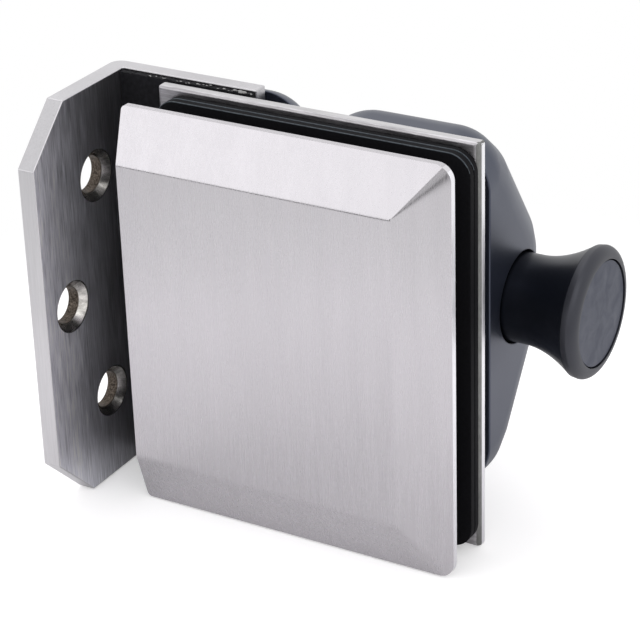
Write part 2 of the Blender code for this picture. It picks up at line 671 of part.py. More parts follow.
def build_pin(steel, carrier):
    profile = [(COLLAR_X, PIN_R), (PIN_END_X - TIP_TAPER, PIN_R), (PIN_END_X, PIN_R - TIP_TAPER)]
    pin = turned("latch_pin", profile, steel, "X", (0, 0, 0), SCREW_STEPS)
    inner = PIN_R + SEAT_GAP
    end = COLLAR_X + COLLAR_THICK
    ring = [(COLLAR_X, inner), (COLLAR_X, COLLAR_R), (end, COLLAR_R), (end, inner)]
    collar = turned("pin_collar", ring, steel, "X", (0, 0, 0), SCREW_STEPS, True)
    pin.parent = carrier
    collar.parent = carrier
    start = end + SEAT_GAP
    coil("pin_spring", start, start + PIN_SPRING_LENGTH, PIN_SPRING_R, PIN_SPRING_TURNS, steel)


def knob_profile():
    """Side of the knob: a plain neck, a waist that flares in a smooth curve, and a rounded rim."""
    flare_start = KNOB_START_X + NECK_LENGTH
    flare_length = KNOB_FACE_X - RIM_DEPTH - flare_start
    flare_rise = FLANGE_R - FLANGE_STEP - NECK_R
    points = [(KNOB_START_X, NECK_R - NECK_EDGE), (KNOB_START_X + NECK_EDGE, NECK_R), (flare_start, NECK_R)]
    for step in range(1, FLARE_STEPS + 1):
        share = step / FLARE_STEPS
        points.append((flare_start + flare_length * share, NECK_R + flare_rise * share ** FLARE_POWER))
    round_r = RIM_WIDTH - SEAT_GAP - RIM_LIP
    for step in range(RIM_STEPS + 1):
        angle = math.pi / 2 * step / RIM_STEPS
        x = KNOB_FACE_X - RIM_ROUND + RIM_ROUND * math.sin(angle)
        points.append((x, FLANGE_R - round_r + round_r * math.cos(angle)))
    return points


def build_knob(plastic, steel, magnet_finish, carrier):
    disc_hole_r = DISC_R + SEAT_GAP
    head_hole_r = KNOB_SCREW_HEAD_R + SCREW_GAP
    shaft_hole_r = SHAFT_R + SEAT_GAP
    screw_hole_r = KNOB_SCREW_R + SCREW_GAP
    floor_x = SHAFT_END_X + SEAT_GAP + SCREW_FLOOR
    profile = knob_profile()
    profile += [(KNOB_FACE_X, disc_hole_r), (DISC_SEAT_X, disc_hole_r), (DISC_SEAT_X, head_hole_r)]
    profile += [(floor_x, head_hole_r), (floor_x, screw_hole_r), (SHAFT_END_X + SEAT_GAP, screw_hole_r)]
    profile += [(SHAFT_END_X + SEAT_GAP, shaft_hole_r), (KNOB_START_X, shaft_hole_r)]
    pieces = [turned("pull_knob", profile, plastic, "X", (0, 0, 0), KNOB_STEPS, True)]
    start = DISC_SEAT_X + SEAT_GAP
    pieces.append(rod("knob_disc", start, start + DISC_THICK, DISC_R, plastic, "X", (0, 0, 0), KNOB_STEPS))
    head_x = floor_x + SEAT_GAP
    tip_x = head_x - KNOB_SCREW_LENGTH
    screw_line = [(tip_x, KNOB_SCREW_R), (head_x, KNOB_SCREW_R), (head_x, KNOB_SCREW_HEAD_R)]
    screw_line += [(head_x + KNOB_SCREW_HEAD, KNOB_SCREW_HEAD_R)]
    pieces.append(turned("knob_screw", screw_line, steel, "X", (0, 0, 0), SCREW_STEPS))
    magnet_x = CARRIAGE_X + SEAT_GAP
    shaft_x = magnet_x + MAGNET_THICK + 2 * SEAT_GAP
    shaft_line = [(shaft_x, SHAFT_R), (SHAFT_END_X, SHAFT_R), (SHAFT_END_X, screw_hole_r)]
    shaft_line += [(tip_x - TRAVEL_GAP, screw_hole_r)]
    pieces.append(turned("pull_shaft", shaft_line, steel, "X", (0, 0, 0), SCREW_STEPS))
    pocket_r = MAGNET_R + SEAT_GAP
    pocket_x = magnet_x + MAGNET_THICK + SEAT_GAP
    carriage_line = [(CARRIAGE_X, pocket_r), (CARRIAGE_X, CARRIAGE_R), (CARRIAGE_END_X, CARRIAGE_R)]
    carriage_line += [(CARRIAGE_END_X, shaft_hole_r), (pocket_x, shaft_hole_r), (pocket_x, pocket_r)]
    pieces.append(turned("magnet_carriage", carriage_line, plastic, ring=True))
    pieces.append(rod("latch_magnet", magnet_x, magnet_x + MAGNET_THICK, MAGNET_R, magnet_finish))
    for piece in pieces:
        piece.parent = carrier
    coil("return_spring", CARRIAGE_END_X + SEAT_GAP, BUSH_FLANGE_X - SEAT_GAP, PULL_SPRING_R,
         PULL_SPRING_TURNS, steel)


def axis_empty(name):
    """The parent of a sliding group, on the line that it slides along."""
    made = bpy.data.objects.new(name, None)
    made.location = Vector(LATCH_LINE) * MM
    bpy.context.scene.collection.objects.link(made)
    return made


def main():
    clear_scene()
    steel = material("satin_steel", (0.62, 0.61, 0.60), 0.35, 1.0)
    bright_steel = material("bright_steel", (0.70, 0.70, 0.70), 0.25, 1.0)
    rubber = material("black_rubber", (0.012, 0.012, 0.013), 0.75)
    plastic = material("dark_nylon", (0.035, 0.036, 0.042), 0.5)
    nylon = material("white_nylon", (0.75, 0.74, 0.70), 0.5)
    magnet_finish = material("plated_magnet", (0.55, 0.55, 0.57), 0.2, 1.0)
    build_bracket(steel)
    build_stop_pad(rubber)
    build_cover(steel)
    build_gasket("cover_gasket", COVER_GASKET_Y, COVER_GASKET_THICK, GASKET_INSET, rubber)
    build_gasket("plate_gasket_outer", GLASS_REAR_Y, GASKET_THICK, GASKET_INSET_ENDS, rubber)
    build_gasket("plate_gasket_inner", INNER_GASKET_Y, GASKET_THICK, GASKET_INSET_ENDS, rubber)
    build_back_plate(steel)
    build_clamp(bright_steel, nylon)
    build_latch_body(plastic, nylon, bright_steel)
    build_keeper(plastic, nylon, bright_steel)
    build_pin(bright_steel, axis_empty("pin_line"))
    build_knob(plastic, bright_steel, magnet_finish, axis_empty("knob_line"))


main()
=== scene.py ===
"""Looks for a latch on a frameless glass door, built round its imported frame.

The wall half is a brushed steel angle with a moulded keeper behind it. The door half is a
bevelled steel cover, rubber sheets and a back plate, with a moulded latch body and a pull
knob behind them. Sizes are in millimetres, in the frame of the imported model, and turn into
metres as each mesh is written.
"""
import logging
import math
from contextlib import contextmanager
from dataclasses import dataclass, field
from enum import Enum
from typing import Callable, Iterable, Iterator, Optional, Sequence

import bmesh
import bpy
from mathutils import Matrix, Vector


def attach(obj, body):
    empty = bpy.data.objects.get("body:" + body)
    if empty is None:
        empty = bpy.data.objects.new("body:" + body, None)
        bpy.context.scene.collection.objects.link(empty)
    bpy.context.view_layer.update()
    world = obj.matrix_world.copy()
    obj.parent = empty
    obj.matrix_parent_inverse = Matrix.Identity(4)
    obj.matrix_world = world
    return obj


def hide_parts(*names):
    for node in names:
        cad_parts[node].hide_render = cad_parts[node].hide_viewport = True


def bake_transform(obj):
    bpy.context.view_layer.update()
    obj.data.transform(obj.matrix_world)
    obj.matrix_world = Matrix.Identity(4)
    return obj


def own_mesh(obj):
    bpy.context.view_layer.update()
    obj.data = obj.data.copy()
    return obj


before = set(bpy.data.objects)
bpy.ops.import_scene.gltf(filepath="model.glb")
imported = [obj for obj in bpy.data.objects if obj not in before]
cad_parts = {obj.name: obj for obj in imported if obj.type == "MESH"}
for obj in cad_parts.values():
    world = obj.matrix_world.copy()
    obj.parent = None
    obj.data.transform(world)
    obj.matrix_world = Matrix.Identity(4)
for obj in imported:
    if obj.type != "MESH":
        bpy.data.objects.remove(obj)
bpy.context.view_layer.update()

MM = 0.001
OVERCUT = 2.0
SAME = 0.01
SIDES = (("lower", -1), ("upper", 1))

Point = tuple[float, float]
Place = tuple[float, float, float]
Colour = tuple[float, float, float]
Obj = bpy.types.Object
Face = bpy.types.MeshPolygon
Mesh = bmesh.types.BMesh
Tree = bpy.types.NodeTree
Node = bpy.types.Node
Socket = bpy.types.NodeSocket

log = logging.getLogger("glass_door_latch")


class Body(Enum):
    """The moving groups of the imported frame."""

    LATCH = "latch"
    KNOB = "knob"
    PIN = "pin"


class Slot(Enum):
    """The record's material slots."""

    SATIN = "satin_steel"
    BRIGHT = "bright_steel"
    RUBBER = "black_rubber"
    NYLON = "dark_nylon"
    NATURAL = "white_nylon"
    PLATED = "plated_magnet"


class Axis(Enum):
    """A line that a form is turned or drawn along."""

    X = 0
    Y = 1
    Z = 2


class Join(Enum):
    """How one solid changes another."""

    CUT = "DIFFERENCE"
    MEET = "INTERSECT"
    ADD = "UNION"


def write_mesh(name: str, bm: Mesh) -> Obj:
    """Write a mesh drawn in millimetres as an object in metres.

    Args:
        name: name of the new object.
        bm: the mesh, which is freed.

    Returns:
        The new object, at the origin.
    """
    bmesh.ops.remove_doubles(bm, verts=bm.verts, dist=1e-5)
    bmesh.ops.recalc_face_normals(bm, faces=bm.faces)
    bm.transform(Matrix.Scale(MM, 4))
    mesh = bpy.data.meshes.new(name)
    bm.to_mesh(mesh)
    bm.free()
    made = bpy.data.objects.new(name, mesh)
    bpy.context.scene.collection.objects.link(made)
    return made


def bake(piece: Obj) -> Obj:
    """Turn an object with its modifiers into a plain mesh.

    Args:
        piece: the object to bake.

    Returns:
        The same object.
    """
    graph = bpy.context.evaluated_depsgraph_get()
    old = piece.data
    mesh = bpy.data.meshes.new_from_object(piece.evaluated_get(graph), depsgraph=graph)
    piece.modifiers.clear()
    piece.data = mesh
    mesh.name = piece.name
    bpy.data.meshes.remove(old)
    return piece


@contextmanager
def edit(piece: Obj) -> Iterator[Mesh]:
    """Open an object's mesh for changes, and write it back afterwards."""
    bm = bmesh.new()
    bm.from_mesh(piece.data)
    yield bm
    bm.to_mesh(piece.data)
    bm.free()


def combine(piece: Obj, how: Join, tools: Iterable[Obj]) -> Obj:
    """Cut solids out of a piece or add them to it, and delete them.

    Args:
        piece: the solid that changes.
        how: whether the tools are cut out or added.
        tools: the solids to use up.

    Returns:
        The same piece.
    """
    used = list(tools)
    for tool in used:
        step = piece.modifiers.new(tool.name, "BOOLEAN")
        step.operation = how.value
        step.solver = "EXACT"
        step.object = tool
    bake(piece)
    for tool in used:
        bpy.data.objects.remove(tool)
    return piece


def soften(piece: Obj, width: float, steps: int = 2, angle: float = 30.0) -> Obj:
    """Round the sharp edges of a piece.

    Args:
        piece: the solid.
        width: width of the rounding, in millimetres.
        steps: faces across the rounding.
        angle: edges that turn by more than this are rounded, in degrees.

    Returns:
        The same piece.
    """
    step = piece.modifiers.new("edge", "BEVEL")
    step.width = width * MM
    step.segments = steps
    step.limit_method = "ANGLE"
    step.angle_limit = math.radians(angle)
    return bake(piece)


def roll(name: str, bm: Mesh, most: float, steps: int, width_of: Callable[[bmesh.types.BMEdge],
                                                                          float]) -> Obj:
    """Write a mesh with each of its edges rounded by its own width.

    Args:
        name: name of the new object.
        bm: the mesh.
        most: the largest width, in millimetres.
        steps: faces across a rounding.
        width_of: tells the width of an edge.

    Returns:
        The new object.
    """
    layer = bm.edges.layers.float.new("bevel_weight_edge")
    for edge in bm.edges:
        edge[layer] = width_of(edge) / most
    piece = write_mesh(name, bm)
    step = piece.modifiers.new("edge", "BEVEL")
    step.width = most * MM
    step.segments = steps
    step.limit_method = "WEIGHT"
    return bake(piece)


def settle(piece: Obj, sharp: float = 40.0) -> Obj:
    """Shade a piece smoothly, with its broad faces flat and its sharp edges kept.

    Args:
        piece: the finished solid.
        sharp: edges that turn by more than this stay sharp, in degrees.

    Returns:
        The same piece.
    """
    piece.data.shade_smooth()
    piece.data.set_sharp_from_angle(angle=math.radians(sharp))
    step = piece.modifiers.new("normals", "WEIGHTED_NORMAL")
    step.keep_sharp = True
    step.weight = 100
    return bake(piece)


def prism(outline: Sequence[Point], start: float, end: float, axis: Axis) -> Mesh:
    """Draw an outline along an axis.

    Args:
        outline: points over the other two axes, in X, Y, Z order.
        start: where the solid starts along the axis.
        end: where it ends.
        axis: the axis it is drawn along.

    Returns:
        A closed mesh.
    """
    bm = bmesh.new()
    slot = axis.value
    rings = []
    for along in (start, end):
        rings.append([bm.verts.new((*point[:slot], along, *point[slot:])) for point in outline])
    count = len(outline)
    for step in range(count):
        after = (step + 1) % count
        bm.faces.new((rings[0][step], rings[0][after], rings[1][after], rings[1][step]))
    for ring in rings:
        bm.faces.new(ring)
    bmesh.ops.recalc_face_normals(bm, faces=bm.faces)
    return bm


def turning(profile: Sequence[Point], axis: Axis, at: Place, steps: int, ring: bool = False) -> Mesh:
    """Turn a profile about an axis.

    Args:
        profile: distances along the axis, each with its radius.
        axis: the axis, X or Y.
        at: where the axis and the distances start from.
        steps: sides of the turning.
        ring: True for a profile that closes on itself, False for a solid with flat ends.

    Returns:
        A closed mesh.
    """
    bm = bmesh.new()
    hoops = []
    for along, radius in profile:
        hoop = []
        for step in range(steps):
            angle = 2 * math.pi * step / steps
            across = (radius * math.cos(angle), radius * math.sin(angle))
            place = (along, *across) if axis is Axis.X else (across[0], along, across[1])
            hoop.append(bm.verts.new(Vector(place) + Vector(at)))
        hoops.append(hoop)
    pairs = list(zip(hoops, hoops[1:]))
    if ring:
        pairs.append((hoops[-1], hoops[0]))
    else:
        bm.faces.new(hoops[0])
        bm.faces.new(hoops[-1])
    for first, second in pairs:
        for step in range(steps):
            after = (step + 1) % steps
            bm.faces.new((first[step], first[after], second[after], second[step]))
    return bm


def turned(name: str, profile: Sequence[Point], axis: Axis, at: Place, steps: int = 64,
           ring: bool = False) -> Obj:
    """Write a turning as an object; see turning for the arguments."""
    return write_mesh(name, turning(profile, axis, at, steps, ring))


def rod(name: str, start: float, end: float, radius: float, axis: Axis, at: Place, steps: int = 64) -> Obj:
    """Write a plain cylinder as an object; see turning for the arguments."""
    return turned(name, [(start, radius), (end, radius)], axis, at, steps)


def slice_off(bm: Mesh, point: Place, normal: Place) -> None:
    """Cut a closed mesh with a plane and close it again.

    Args:
        bm: the mesh.
        point: a point on the plane.
        normal: the side that is taken away.
    """
    geometry = bm.verts[:] + bm.edges[:] + bm.faces[:]
    found = bmesh.ops.bisect_plane(bm, geom=geometry, plane_co=point, plane_no=normal, clear_outer=True)
    edges = [item for item in found["geom_cut"] if isinstance(item, bmesh.types.BMEdge)]
    bmesh.ops.contextual_create(bm, geom=edges)


def corners(low: Point, high: Point, radii: Sequence[float], steps: int) -> list[Point]:
    """Outline of a rectangle with rounded corners.

    Args:
        low: lowest corner.
        high: highest corner.
        radii: one radius a corner, from the lowest corner round through low Z.
        steps: faces round each corner.

    Returns:
        The points in order.
    """
    places = ((low[0], low[1], 1, 1, 180), (high[0], low[1], -1, 1, 270),
              (high[0], high[1], -1, -1, 0), (low[0], high[1], 1, -1, 90))
    points = []
    for (x, z, toward_x, toward_z, start), radius in zip(places, radii):
        for step in range(steps + 1):
            angle = math.radians(start + 90 * step / steps)
            points.append((x + toward_x * radius + radius * math.cos(angle),
                           z + toward_z * radius + radius * math.sin(angle)))
    return points


def ship(piece: Obj, finish: "Finish", body: Body, stands_for: Sequence[str] = ()) -> Obj:
    """Dress a finished piece, put it on its body and report it.

    Args:
        piece: the piece, with its place in its mesh.
        finish: what it is made of.
        body: the moving group it belongs to.
        stands_for: CAD nodes that it replaces.

    Returns:
        The same piece.
    """
    if not piece.data.materials:
        piece.data.materials.append(finish.material())
    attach(piece, body.value)
    if stands_for:
        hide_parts(*stands_for)
    log.info("%s: %d faces, on %s", piece.name, len(piece.data.polygons), body.value)
    return piece


def dress(piece: Obj, finishes: Sequence["Finish"],
          pick: Callable[[Face], int]) -> None:
    """Give a piece several finishes.

    Args:
        piece: the piece.
        finishes: what it can be made of.
        pick: tells which of them a face has, as a number.
    """
    piece.data.materials.clear()
    for finish in finishes:
        piece.data.materials.append(finish.material())
    for face in piece.data.polygons:
        face.material_index = pick(face)


@dataclass(frozen=True)
class Value:
    """An output in a node tree; arithmetic on it adds nodes to the tree."""

    tree: Tree
    socket: Socket

    def of(self, how: str, *others: object) -> "Value":
        """The result of one step of arithmetic, with this value first."""
        return out(self.tree, "ShaderNodeMath", dict(enumerate((self, *others))), operation=how)

    def __add__(self, other: object) -> "Value":
        """This value plus another."""
        return self.of("ADD", other)

    def __sub__(self, other: object) -> "Value":
        """This value less another."""
        return self.of("SUBTRACT", other)

    def __mul__(self, other: object) -> "Value":
        """This value times another."""
        return self.of("MULTIPLY", other)

    def __truediv__(self, other: object) -> "Value":
        """This value over another."""
        return self.of("DIVIDE", other)

    def at_most(self, other: object) -> "Value":
        """The lower of two values."""
        return self.of("MINIMUM", other)

    def at_least(self, other: object) -> "Value":
        """The higher of two values."""
        return self.of("MAXIMUM", other)


def feed(tree: Tree, node: Node, sockets: dict) -> None:
    """Set or link a node's inputs.

    Args:
        tree: the tree that the node is in.
        node: the node.
        sockets: input names or numbers, each with a constant, or with an output or a Value to link.
    """
    for key, item in sockets.items():
        item = item.socket if isinstance(item, Value) else item
        if isinstance(item, Socket):
            tree.links.new(item, node.inputs[key])
        else:
            node.inputs[key].default_value = item


def put(tree: Tree, kind: str, sockets: Optional[dict] = None, **settings: object) -> Node:
    """Add a node to a tree.

    Args:
        tree: the tree.
        kind: the node's type.
        sockets: what its inputs are set to or linked to; see feed.
        settings: the node's own properties.

    Returns:
        The new node.
    """
    node = tree.nodes.new(kind)
    for key, setting in settings.items():
        setattr(node, key, setting)
    feed(tree, node, sockets or {})
    return node


def out(tree: Tree, kind: str, sockets: Optional[dict] = None, key: object = 0, **settings: object) -> Value:
    """Add a node, and hold the output with the key given; see put for the rest."""
    return Value(tree, put(tree, kind, sockets, **settings).outputs[key])


def ramp(tree: Tree, item: object, low: float, high: float, first: float = 0.0, last: float = 1.0,
         smooth: bool = False) -> Value:
    """Turn a range of a value into another range.

    Args:
        tree: the tree.
        item: the value.
        low: where the range starts.
        high: where it ends.
        first: what it starts at in the new range.
        last: what it ends at.
        smooth: True to ease in and out.

    Returns:
        The new value, which stays within the new range.
    """
    sockets = {"Value": item, "From Min": low, "From Max": high, "To Min": first, "To Max": last}
    return out(tree, "ShaderNodeMapRange", sockets, interpolation_type="SMOOTHSTEP" if smooth else "LINEAR")


def object_place(tree: Tree) -> Socket:
    """Object coordinates."""
    return put(tree, "ShaderNodeTexCoord").outputs["Object"]


def noise(tree: Tree, place: object, scale: object, **sockets: object) -> Value:
    """Noise over a place; sockets are the node's other inputs."""
    return out(tree, "ShaderNodeTexNoise", {"Vector": place, "Scale": scale, **sockets})


def vector(tree: Tree, how: str, sockets: dict, key: object = 0) -> Value:
    """One step of vector arithmetic."""
    return out(tree, "ShaderNodeVectorMath", sockets, key, operation=how)


def split(tree: Tree, place: object) -> tuple[Value, Value, Value]:
    """The three parts of a vector."""
    parts = put(tree, "ShaderNodeSeparateXYZ", {0: place})
    return tuple(Value(tree, socket) for socket in parts.outputs)


def shader_group(name: str, inputs: dict[str, object], outputs: Sequence[str],
                 fill: Callable[[Tree, Node], dict]) -> Tree:
    """Build a shader group once, and find it again after that.

    Args:
        name: the group's name.
        inputs: input names with their starting values, a tuple for a vector.
        outputs: names of its number outputs.
        fill: adds the nodes and returns a value for each output name.

    Returns:
        The group.
    """
    made = bpy.data.node_groups.get(name)
    if made:
        return made
    made = bpy.data.node_groups.new(name, "ShaderNodeTree")
    for key, start in inputs.items():
        kind = "NodeSocketVector" if isinstance(start, tuple) else "NodeSocketFloat"
        made.interface.new_socket(key, in_out="INPUT", socket_type=kind).default_value = start
    for key in outputs:
        made.interface.new_socket(key, in_out="OUTPUT", socket_type="NodeSocketFloat")
    source = made.nodes.new("NodeGroupInput")
    feed(made, made.nodes.new("NodeGroupOutput"), fill(made, source))
    return made


def brush_lines() -> Tree:
    """Fine lines left by a belt, as a tone around 1 and a height, with wider bands under them."""

    def fill(tree: Tree, source: Node) -> dict:
        """Two sizes of noise, drawn out along the lines."""
        spread = vector(tree, "MULTIPLY", {0: object_place(tree), 1: source.outputs["Spread"]})
        lines = noise(tree, spread, 1.0, Detail=3.0, Roughness=0.7)
        bands = noise(tree, vector(tree, "MULTIPLY", {0: spread, 1: (0.12, 0.12, 0.3)}), 1.0, Detail=2.0)
        centred = (bands - 0.5) * source.outputs["Bands"] + (lines - 0.5)
        return {"Tone": centred * source.outputs["Contrast"] + 1.0, "Height": lines}

    return shader_group("brush_lines", {"Spread": (1500.0, 1500.0, 30.0), "Contrast": 0.3, "Bands": 0.4},
                        ("Tone", "Height"), fill)


def soft_marks() -> Tree:
    """Broad, faint marks from polishing and handling, as a value from 0 to 1."""

    def fill(tree: Tree, source: Node) -> dict:
        """Noise with its middle range stretched."""
        marks = noise(tree, object_place(tree), source.outputs["Size"], Detail=4.0, Roughness=0.55,
                      Distortion=0.6)
        return {"Mask": ramp(tree, marks, 0.3, 0.7)}

    return shader_group("soft_marks", {"Size": 30.0}, ("Mask",), fill)


def mould_grain() -> Tree:
    """The fine pebbled texture of a mould or of pressed rubber, as a height and a tone around 1."""

    def fill(tree: Tree, source: Node) -> dict:
        """Cells and dust of the same size."""
        place, fineness = object_place(tree), source.outputs["Fineness"]
        cells = out(tree, "ShaderNodeTexVoronoi", {"Vector": place, "Scale": fineness}, "Distance",
                    feature="SMOOTH_F1")
        dust = noise(tree, place, fineness, Detail=3.0)
        return {"Height": cells + dust, "Tone": (dust - 0.5) * source.outputs["Contrast"] + 1.0}

    return shader_group("mould_grain", {"Fineness": 2500.0, "Contrast": 0.4}, ("Height", "Tone"), fill)


@dataclass(frozen=True)
class Finish:
    """A surface finish with its record slot.

    Attributes:
        name: the material's name.
        slot: the record slot that it belongs to.
        tint: base colour.
        rough: mean roughness.
    """

    name: str
    slot: Slot
    tint: Colour
    rough: float

    def material(self) -> bpy.types.Material:
        """Find this finish's material, or make it the first time."""
        made = bpy.data.materials.get(self.name)
        if made is None:
            made = bpy.data.materials.new(self.name)
            made.use_nodes = True
            self.fill(made.node_tree, made.node_tree.nodes["Principled BSDF"])
        return made

    def fill(self, tree: Tree, shader: Node) -> None:
        """Add this finish's nodes to its material's tree."""
        raise NotImplementedError

    def toned(self, tree: Tree, tone: object) -> Value:
        """The base colour times a tone that varies over the surface."""
        return tint_of(tree, self.tint, tone)


def tint_of(tree: Tree, tint: Colour, tone: object) -> Value:
    """A colour times a tone that varies over the surface."""
    flat = put(tree, "ShaderNodeRGB")
    flat.outputs[0].default_value = (*tint, 1.0)
    return vector(tree, "SCALE", {0: flat.outputs[0], "Scale": tone})


@dataclass(frozen=True)
class BrushedSteel(Finish):
    """Stainless steel with the lines of a belt or a lathe.

    Attributes:
        spread: how fast the lines change along X, Y and Z, a metre.
        contrast: how far the lines change the tone.
        bands: how much of that the wide bands have.
        depth: depth of the lines, in metres.
        spread_rough: how far the roughness varies.
        stretch: how far highlights spread across the lines.
        fade: two places along Y, in metres, and the tone at each: painted light toward the front and painted shade
            toward the rear, where the steel gets darker.
    """

    spread: Place = (2600.0, 2600.0, 110.0)
    contrast: float = 0.22
    bands: float = 0.4
    depth: float = 0.00001
    spread_rough: float = 0.10
    stretch: float = 0.75
    fade: Optional[tuple[float, float, float, float]] = None

    def fill(self, tree: Tree, shader: Node) -> None:
        """Lines drive tone, roughness and bump; broad marks add a little more roughness."""
        lines = put(tree, "ShaderNodeGroup", {"Spread": self.spread, "Contrast": self.contrast,
                                              "Bands": self.bands},
                    node_tree=brush_lines())
        tone, height = Value(tree, lines.outputs["Tone"]), lines.outputs["Height"]
        # Painted shade: the tone falls along Y, lighter at the front and darker toward the rear.
        if self.fade:
            start, end, near, far = self.fade
            tone = tone * ramp(tree, split(tree, object_place(tree))[1], start, end, near, far)
        marks = out(tree, "ShaderNodeGroup", {"Size": MARKS_SIZE}, node_tree=soft_marks())
        low = self.rough - self.spread_rough / 2
        rough = marks * MARKS_ROUGH + ramp(tree, height, 0.3, 0.7, low, low + self.spread_rough)
        bump = put(tree, "ShaderNodeBump", {"Strength": 0.25, "Distance": self.depth, "Height": height})
        feed(tree, shader, {"Base Color": self.toned(tree, tone), "Roughness": rough,
                            "Normal": bump.outputs[0],
                            "Metallic": 1.0, "Anisotropic": self.stretch})


@dataclass(frozen=True)
class BoredSteel(Finish):
    """Steel left by a countersink: a dull bore, and a cone with bright and dark facets round it.

    Attributes:
        row: distance between the rows of holes, along Z, in metres.
        middle: Y of the hole in the middle row, in metres.
        offset: how much further along Y the outer holes are.
        bore: radius where the cone starts.
        dull: colour of the bore.
        dull_rough: roughness of the bore.
    """

    row: float = 0.028
    middle: float = -0.0099
    offset: float = 0.0128
    bore: float = 0.0044
    dull: Colour = (0.085, 0.07, 0.058)
    dull_rough: float = 0.5

    def fill(self, tree: Tree, shader: Node) -> None:
        """The angle round the nearest hole drives the facets; the distance from it parts bore and cone."""
        place = object_place(tree)
        _, y, z = split(tree, place)
        row = (z / self.row).of("ROUND")
        up = z - row * self.row
        across = y - (row.of("ABSOLUTE") * self.offset + self.middle)
        radius = (up * up + across * across).of("SQRT")
        spot = put(tree, "ShaderNodeCombineXYZ", {0: up.of("ARCTAN2", across) * 2.6, 1: radius * 350.0,
                                                  2: row * 7.0})
        facets = noise(tree, spot.outputs[0], 1.0, Detail=3.0, Roughness=0.6)
        specks = ramp(tree, noise(tree, place, 2600.0), 0.35, 0.75, 0.4, 2.2)
        on_cone = ramp(tree, radius, self.bore + 0.00005, self.bore + 0.0002)
        cone = self.toned(tree, ramp(tree, facets, 0.36, 0.68, 0.7, 1.6))
        both = out(tree, "ShaderNodeMix", {0: on_cone, 6: tint_of(tree, self.dull, specks), 7: cone}, 2,
                   data_type="RGBA")
        feed(tree, shader, {"Base Color": both, "Metallic": 1.0,
                            "Roughness": ramp(tree, on_cone, 0.0, 1.0, self.dull_rough, self.rough)})


@dataclass(frozen=True)
class Moulded(Finish):
    """Moulded plastic or pressed rubber with a fine grain.

    Attributes:
        fineness: how fast the grain changes, a metre.
        depth: depth of the grain, in metres.
        speckle: how far the grain changes the tone.
        gloss: specular level.
        sheen: tint of its highlights.
        index: index of refraction.
        marks_rough: how much roughness handling adds.
        marks_size: how fast the handling marks change, a metre.
    """

    fineness: float = 3000.0
    depth: float = 0.00002
    speckle: float = 0.4
    gloss: float = 0.5
    sheen: Colour = (1.0, 1.0, 1.0)
    index: float = 1.5
    marks_rough: float = 0.06
    marks_size: float = 45.0

    def fill(self, tree: Tree, shader: Node) -> None:
        """Grain drives tone and bump; handling marks drive roughness."""
        grain = put(tree, "ShaderNodeGroup", {"Fineness": self.fineness, "Contrast": self.speckle},
                    node_tree=mould_grain())
        marks = out(tree, "ShaderNodeGroup", {"Size": self.marks_size}, node_tree=soft_marks())
        bump = put(tree, "ShaderNodeBump", {"Strength": 0.3, "Distance": self.depth,
                                            "Height": grain.outputs["Height"]})
        feed(tree, shader, {"Base Color": self.toned(tree, grain.outputs["Tone"]), "Normal": bump.outputs[0],
                            "Roughness": marks * self.marks_rough + self.rough, "IOR": self.index,
                            "Specular IOR Level": self.gloss, "Specular Tint": (*self.sheen, 1.0)})


MARKS_SIZE = 28.0
MARKS_ROUGH = 0.04
BLUISH: Colour = (0.70, 0.76, 1.0)
BLUER: Colour = (0.58, 0.66, 1.0)
PALE_BLUE: Colour = (0.86, 0.88, 1.0)
SATIN = BrushedSteel("satin_brushed_steel", Slot.SATIN, (0.590, 0.570, 0.598), 0.25, (2200.0, 2200.0, 90.0),
                     0.2)
# The wall leg's inner face, with painted light at its front and painted shade toward the back leg.
LEG_STEEL_PAINTED_SHADE = BrushedSteel("bracket_steel_painted_shade", Slot.SATIN, (0.68, 0.68, 0.73), 0.36, (2300.0, 2300.0, 110.0), 1.3,
                         0.4,
                         fade=(-0.012, 0.010, 1.28, 0.6))
EDGE_STEEL = BrushedSteel("bracket_edge_steel", Slot.SATIN, (0.61, 0.60, 0.62), 0.32, (2400.0, 2400.0, 110.0),
                          0.3)
PLATE_STEEL = BrushedSteel("plate_steel", Slot.SATIN, (0.60, 0.59, 0.60), 0.34, (170.0, 2600.0, 2600.0), 0.5,
                           1.0)
MOTTLED_STEEL = BrushedSteel("mottled_steel", Slot.SATIN, (0.56, 0.545, 0.565), 0.42, (260.0, 2200.0, 2200.0),
                             1.2,
                             1.0)
# Darker, rougher steel for the rolled edge of the plate by the knob.
DARK_ROLL_STEEL = BrushedSteel("dark_roll_steel", Slot.SATIN, (0.25, 0.25, 0.245), 0.45, (2200.0, 2200.0, 500.0),
                         1.2, 0.6)
# Painted highlight: lighter steel on the cover's rim rounding, between the right bevel and the side by the knob.
RIM_PAINTED_HIGHLIGHT = BrushedSteel("rim_steel_painted_highlight", Slot.SATIN, (0.75, 0.735, 0.765), 0.32, (1600.0, 1600.0, 120.0), 0.2)
# Painted highlight: pale steel on faces that turn to the right toward the knob, standing in for light from that
# side.
STEEL_PAINTED_HIGHLIGHT = BrushedSteel("steel_painted_highlight", Slot.SATIN, (0.93, 0.925, 0.96), 0.42, (900.0, 900.0, 200.0),
                             0.1)
BORE_STEEL = BoredSteel("bored_steel", Slot.SATIN, (0.62, 0.60, 0.57), 0.26)
SCREW_FINISH = BrushedSteel("screw_steel", Slot.BRIGHT, (0.66, 0.66, 0.67), 0.22, (60.0, 2600.0, 60.0), 0.2)
PIN_STEEL = BrushedSteel("ground_steel", Slot.BRIGHT, (0.70, 0.70, 0.71), 0.16, (2600.0, 60.0, 60.0), 0.15)
PLATING = BrushedSteel("magnet_plating", Slot.PLATED, (0.60, 0.59, 0.57), 0.15, (400.0, 400.0, 400.0), 0.1)
SHEET_RUBBER = Moulded("gasket_rubber", Slot.RUBBER, (0.0075, 0.0075, 0.009), 0.7, 1800.0, 0.00004, 0.9, 0.1)
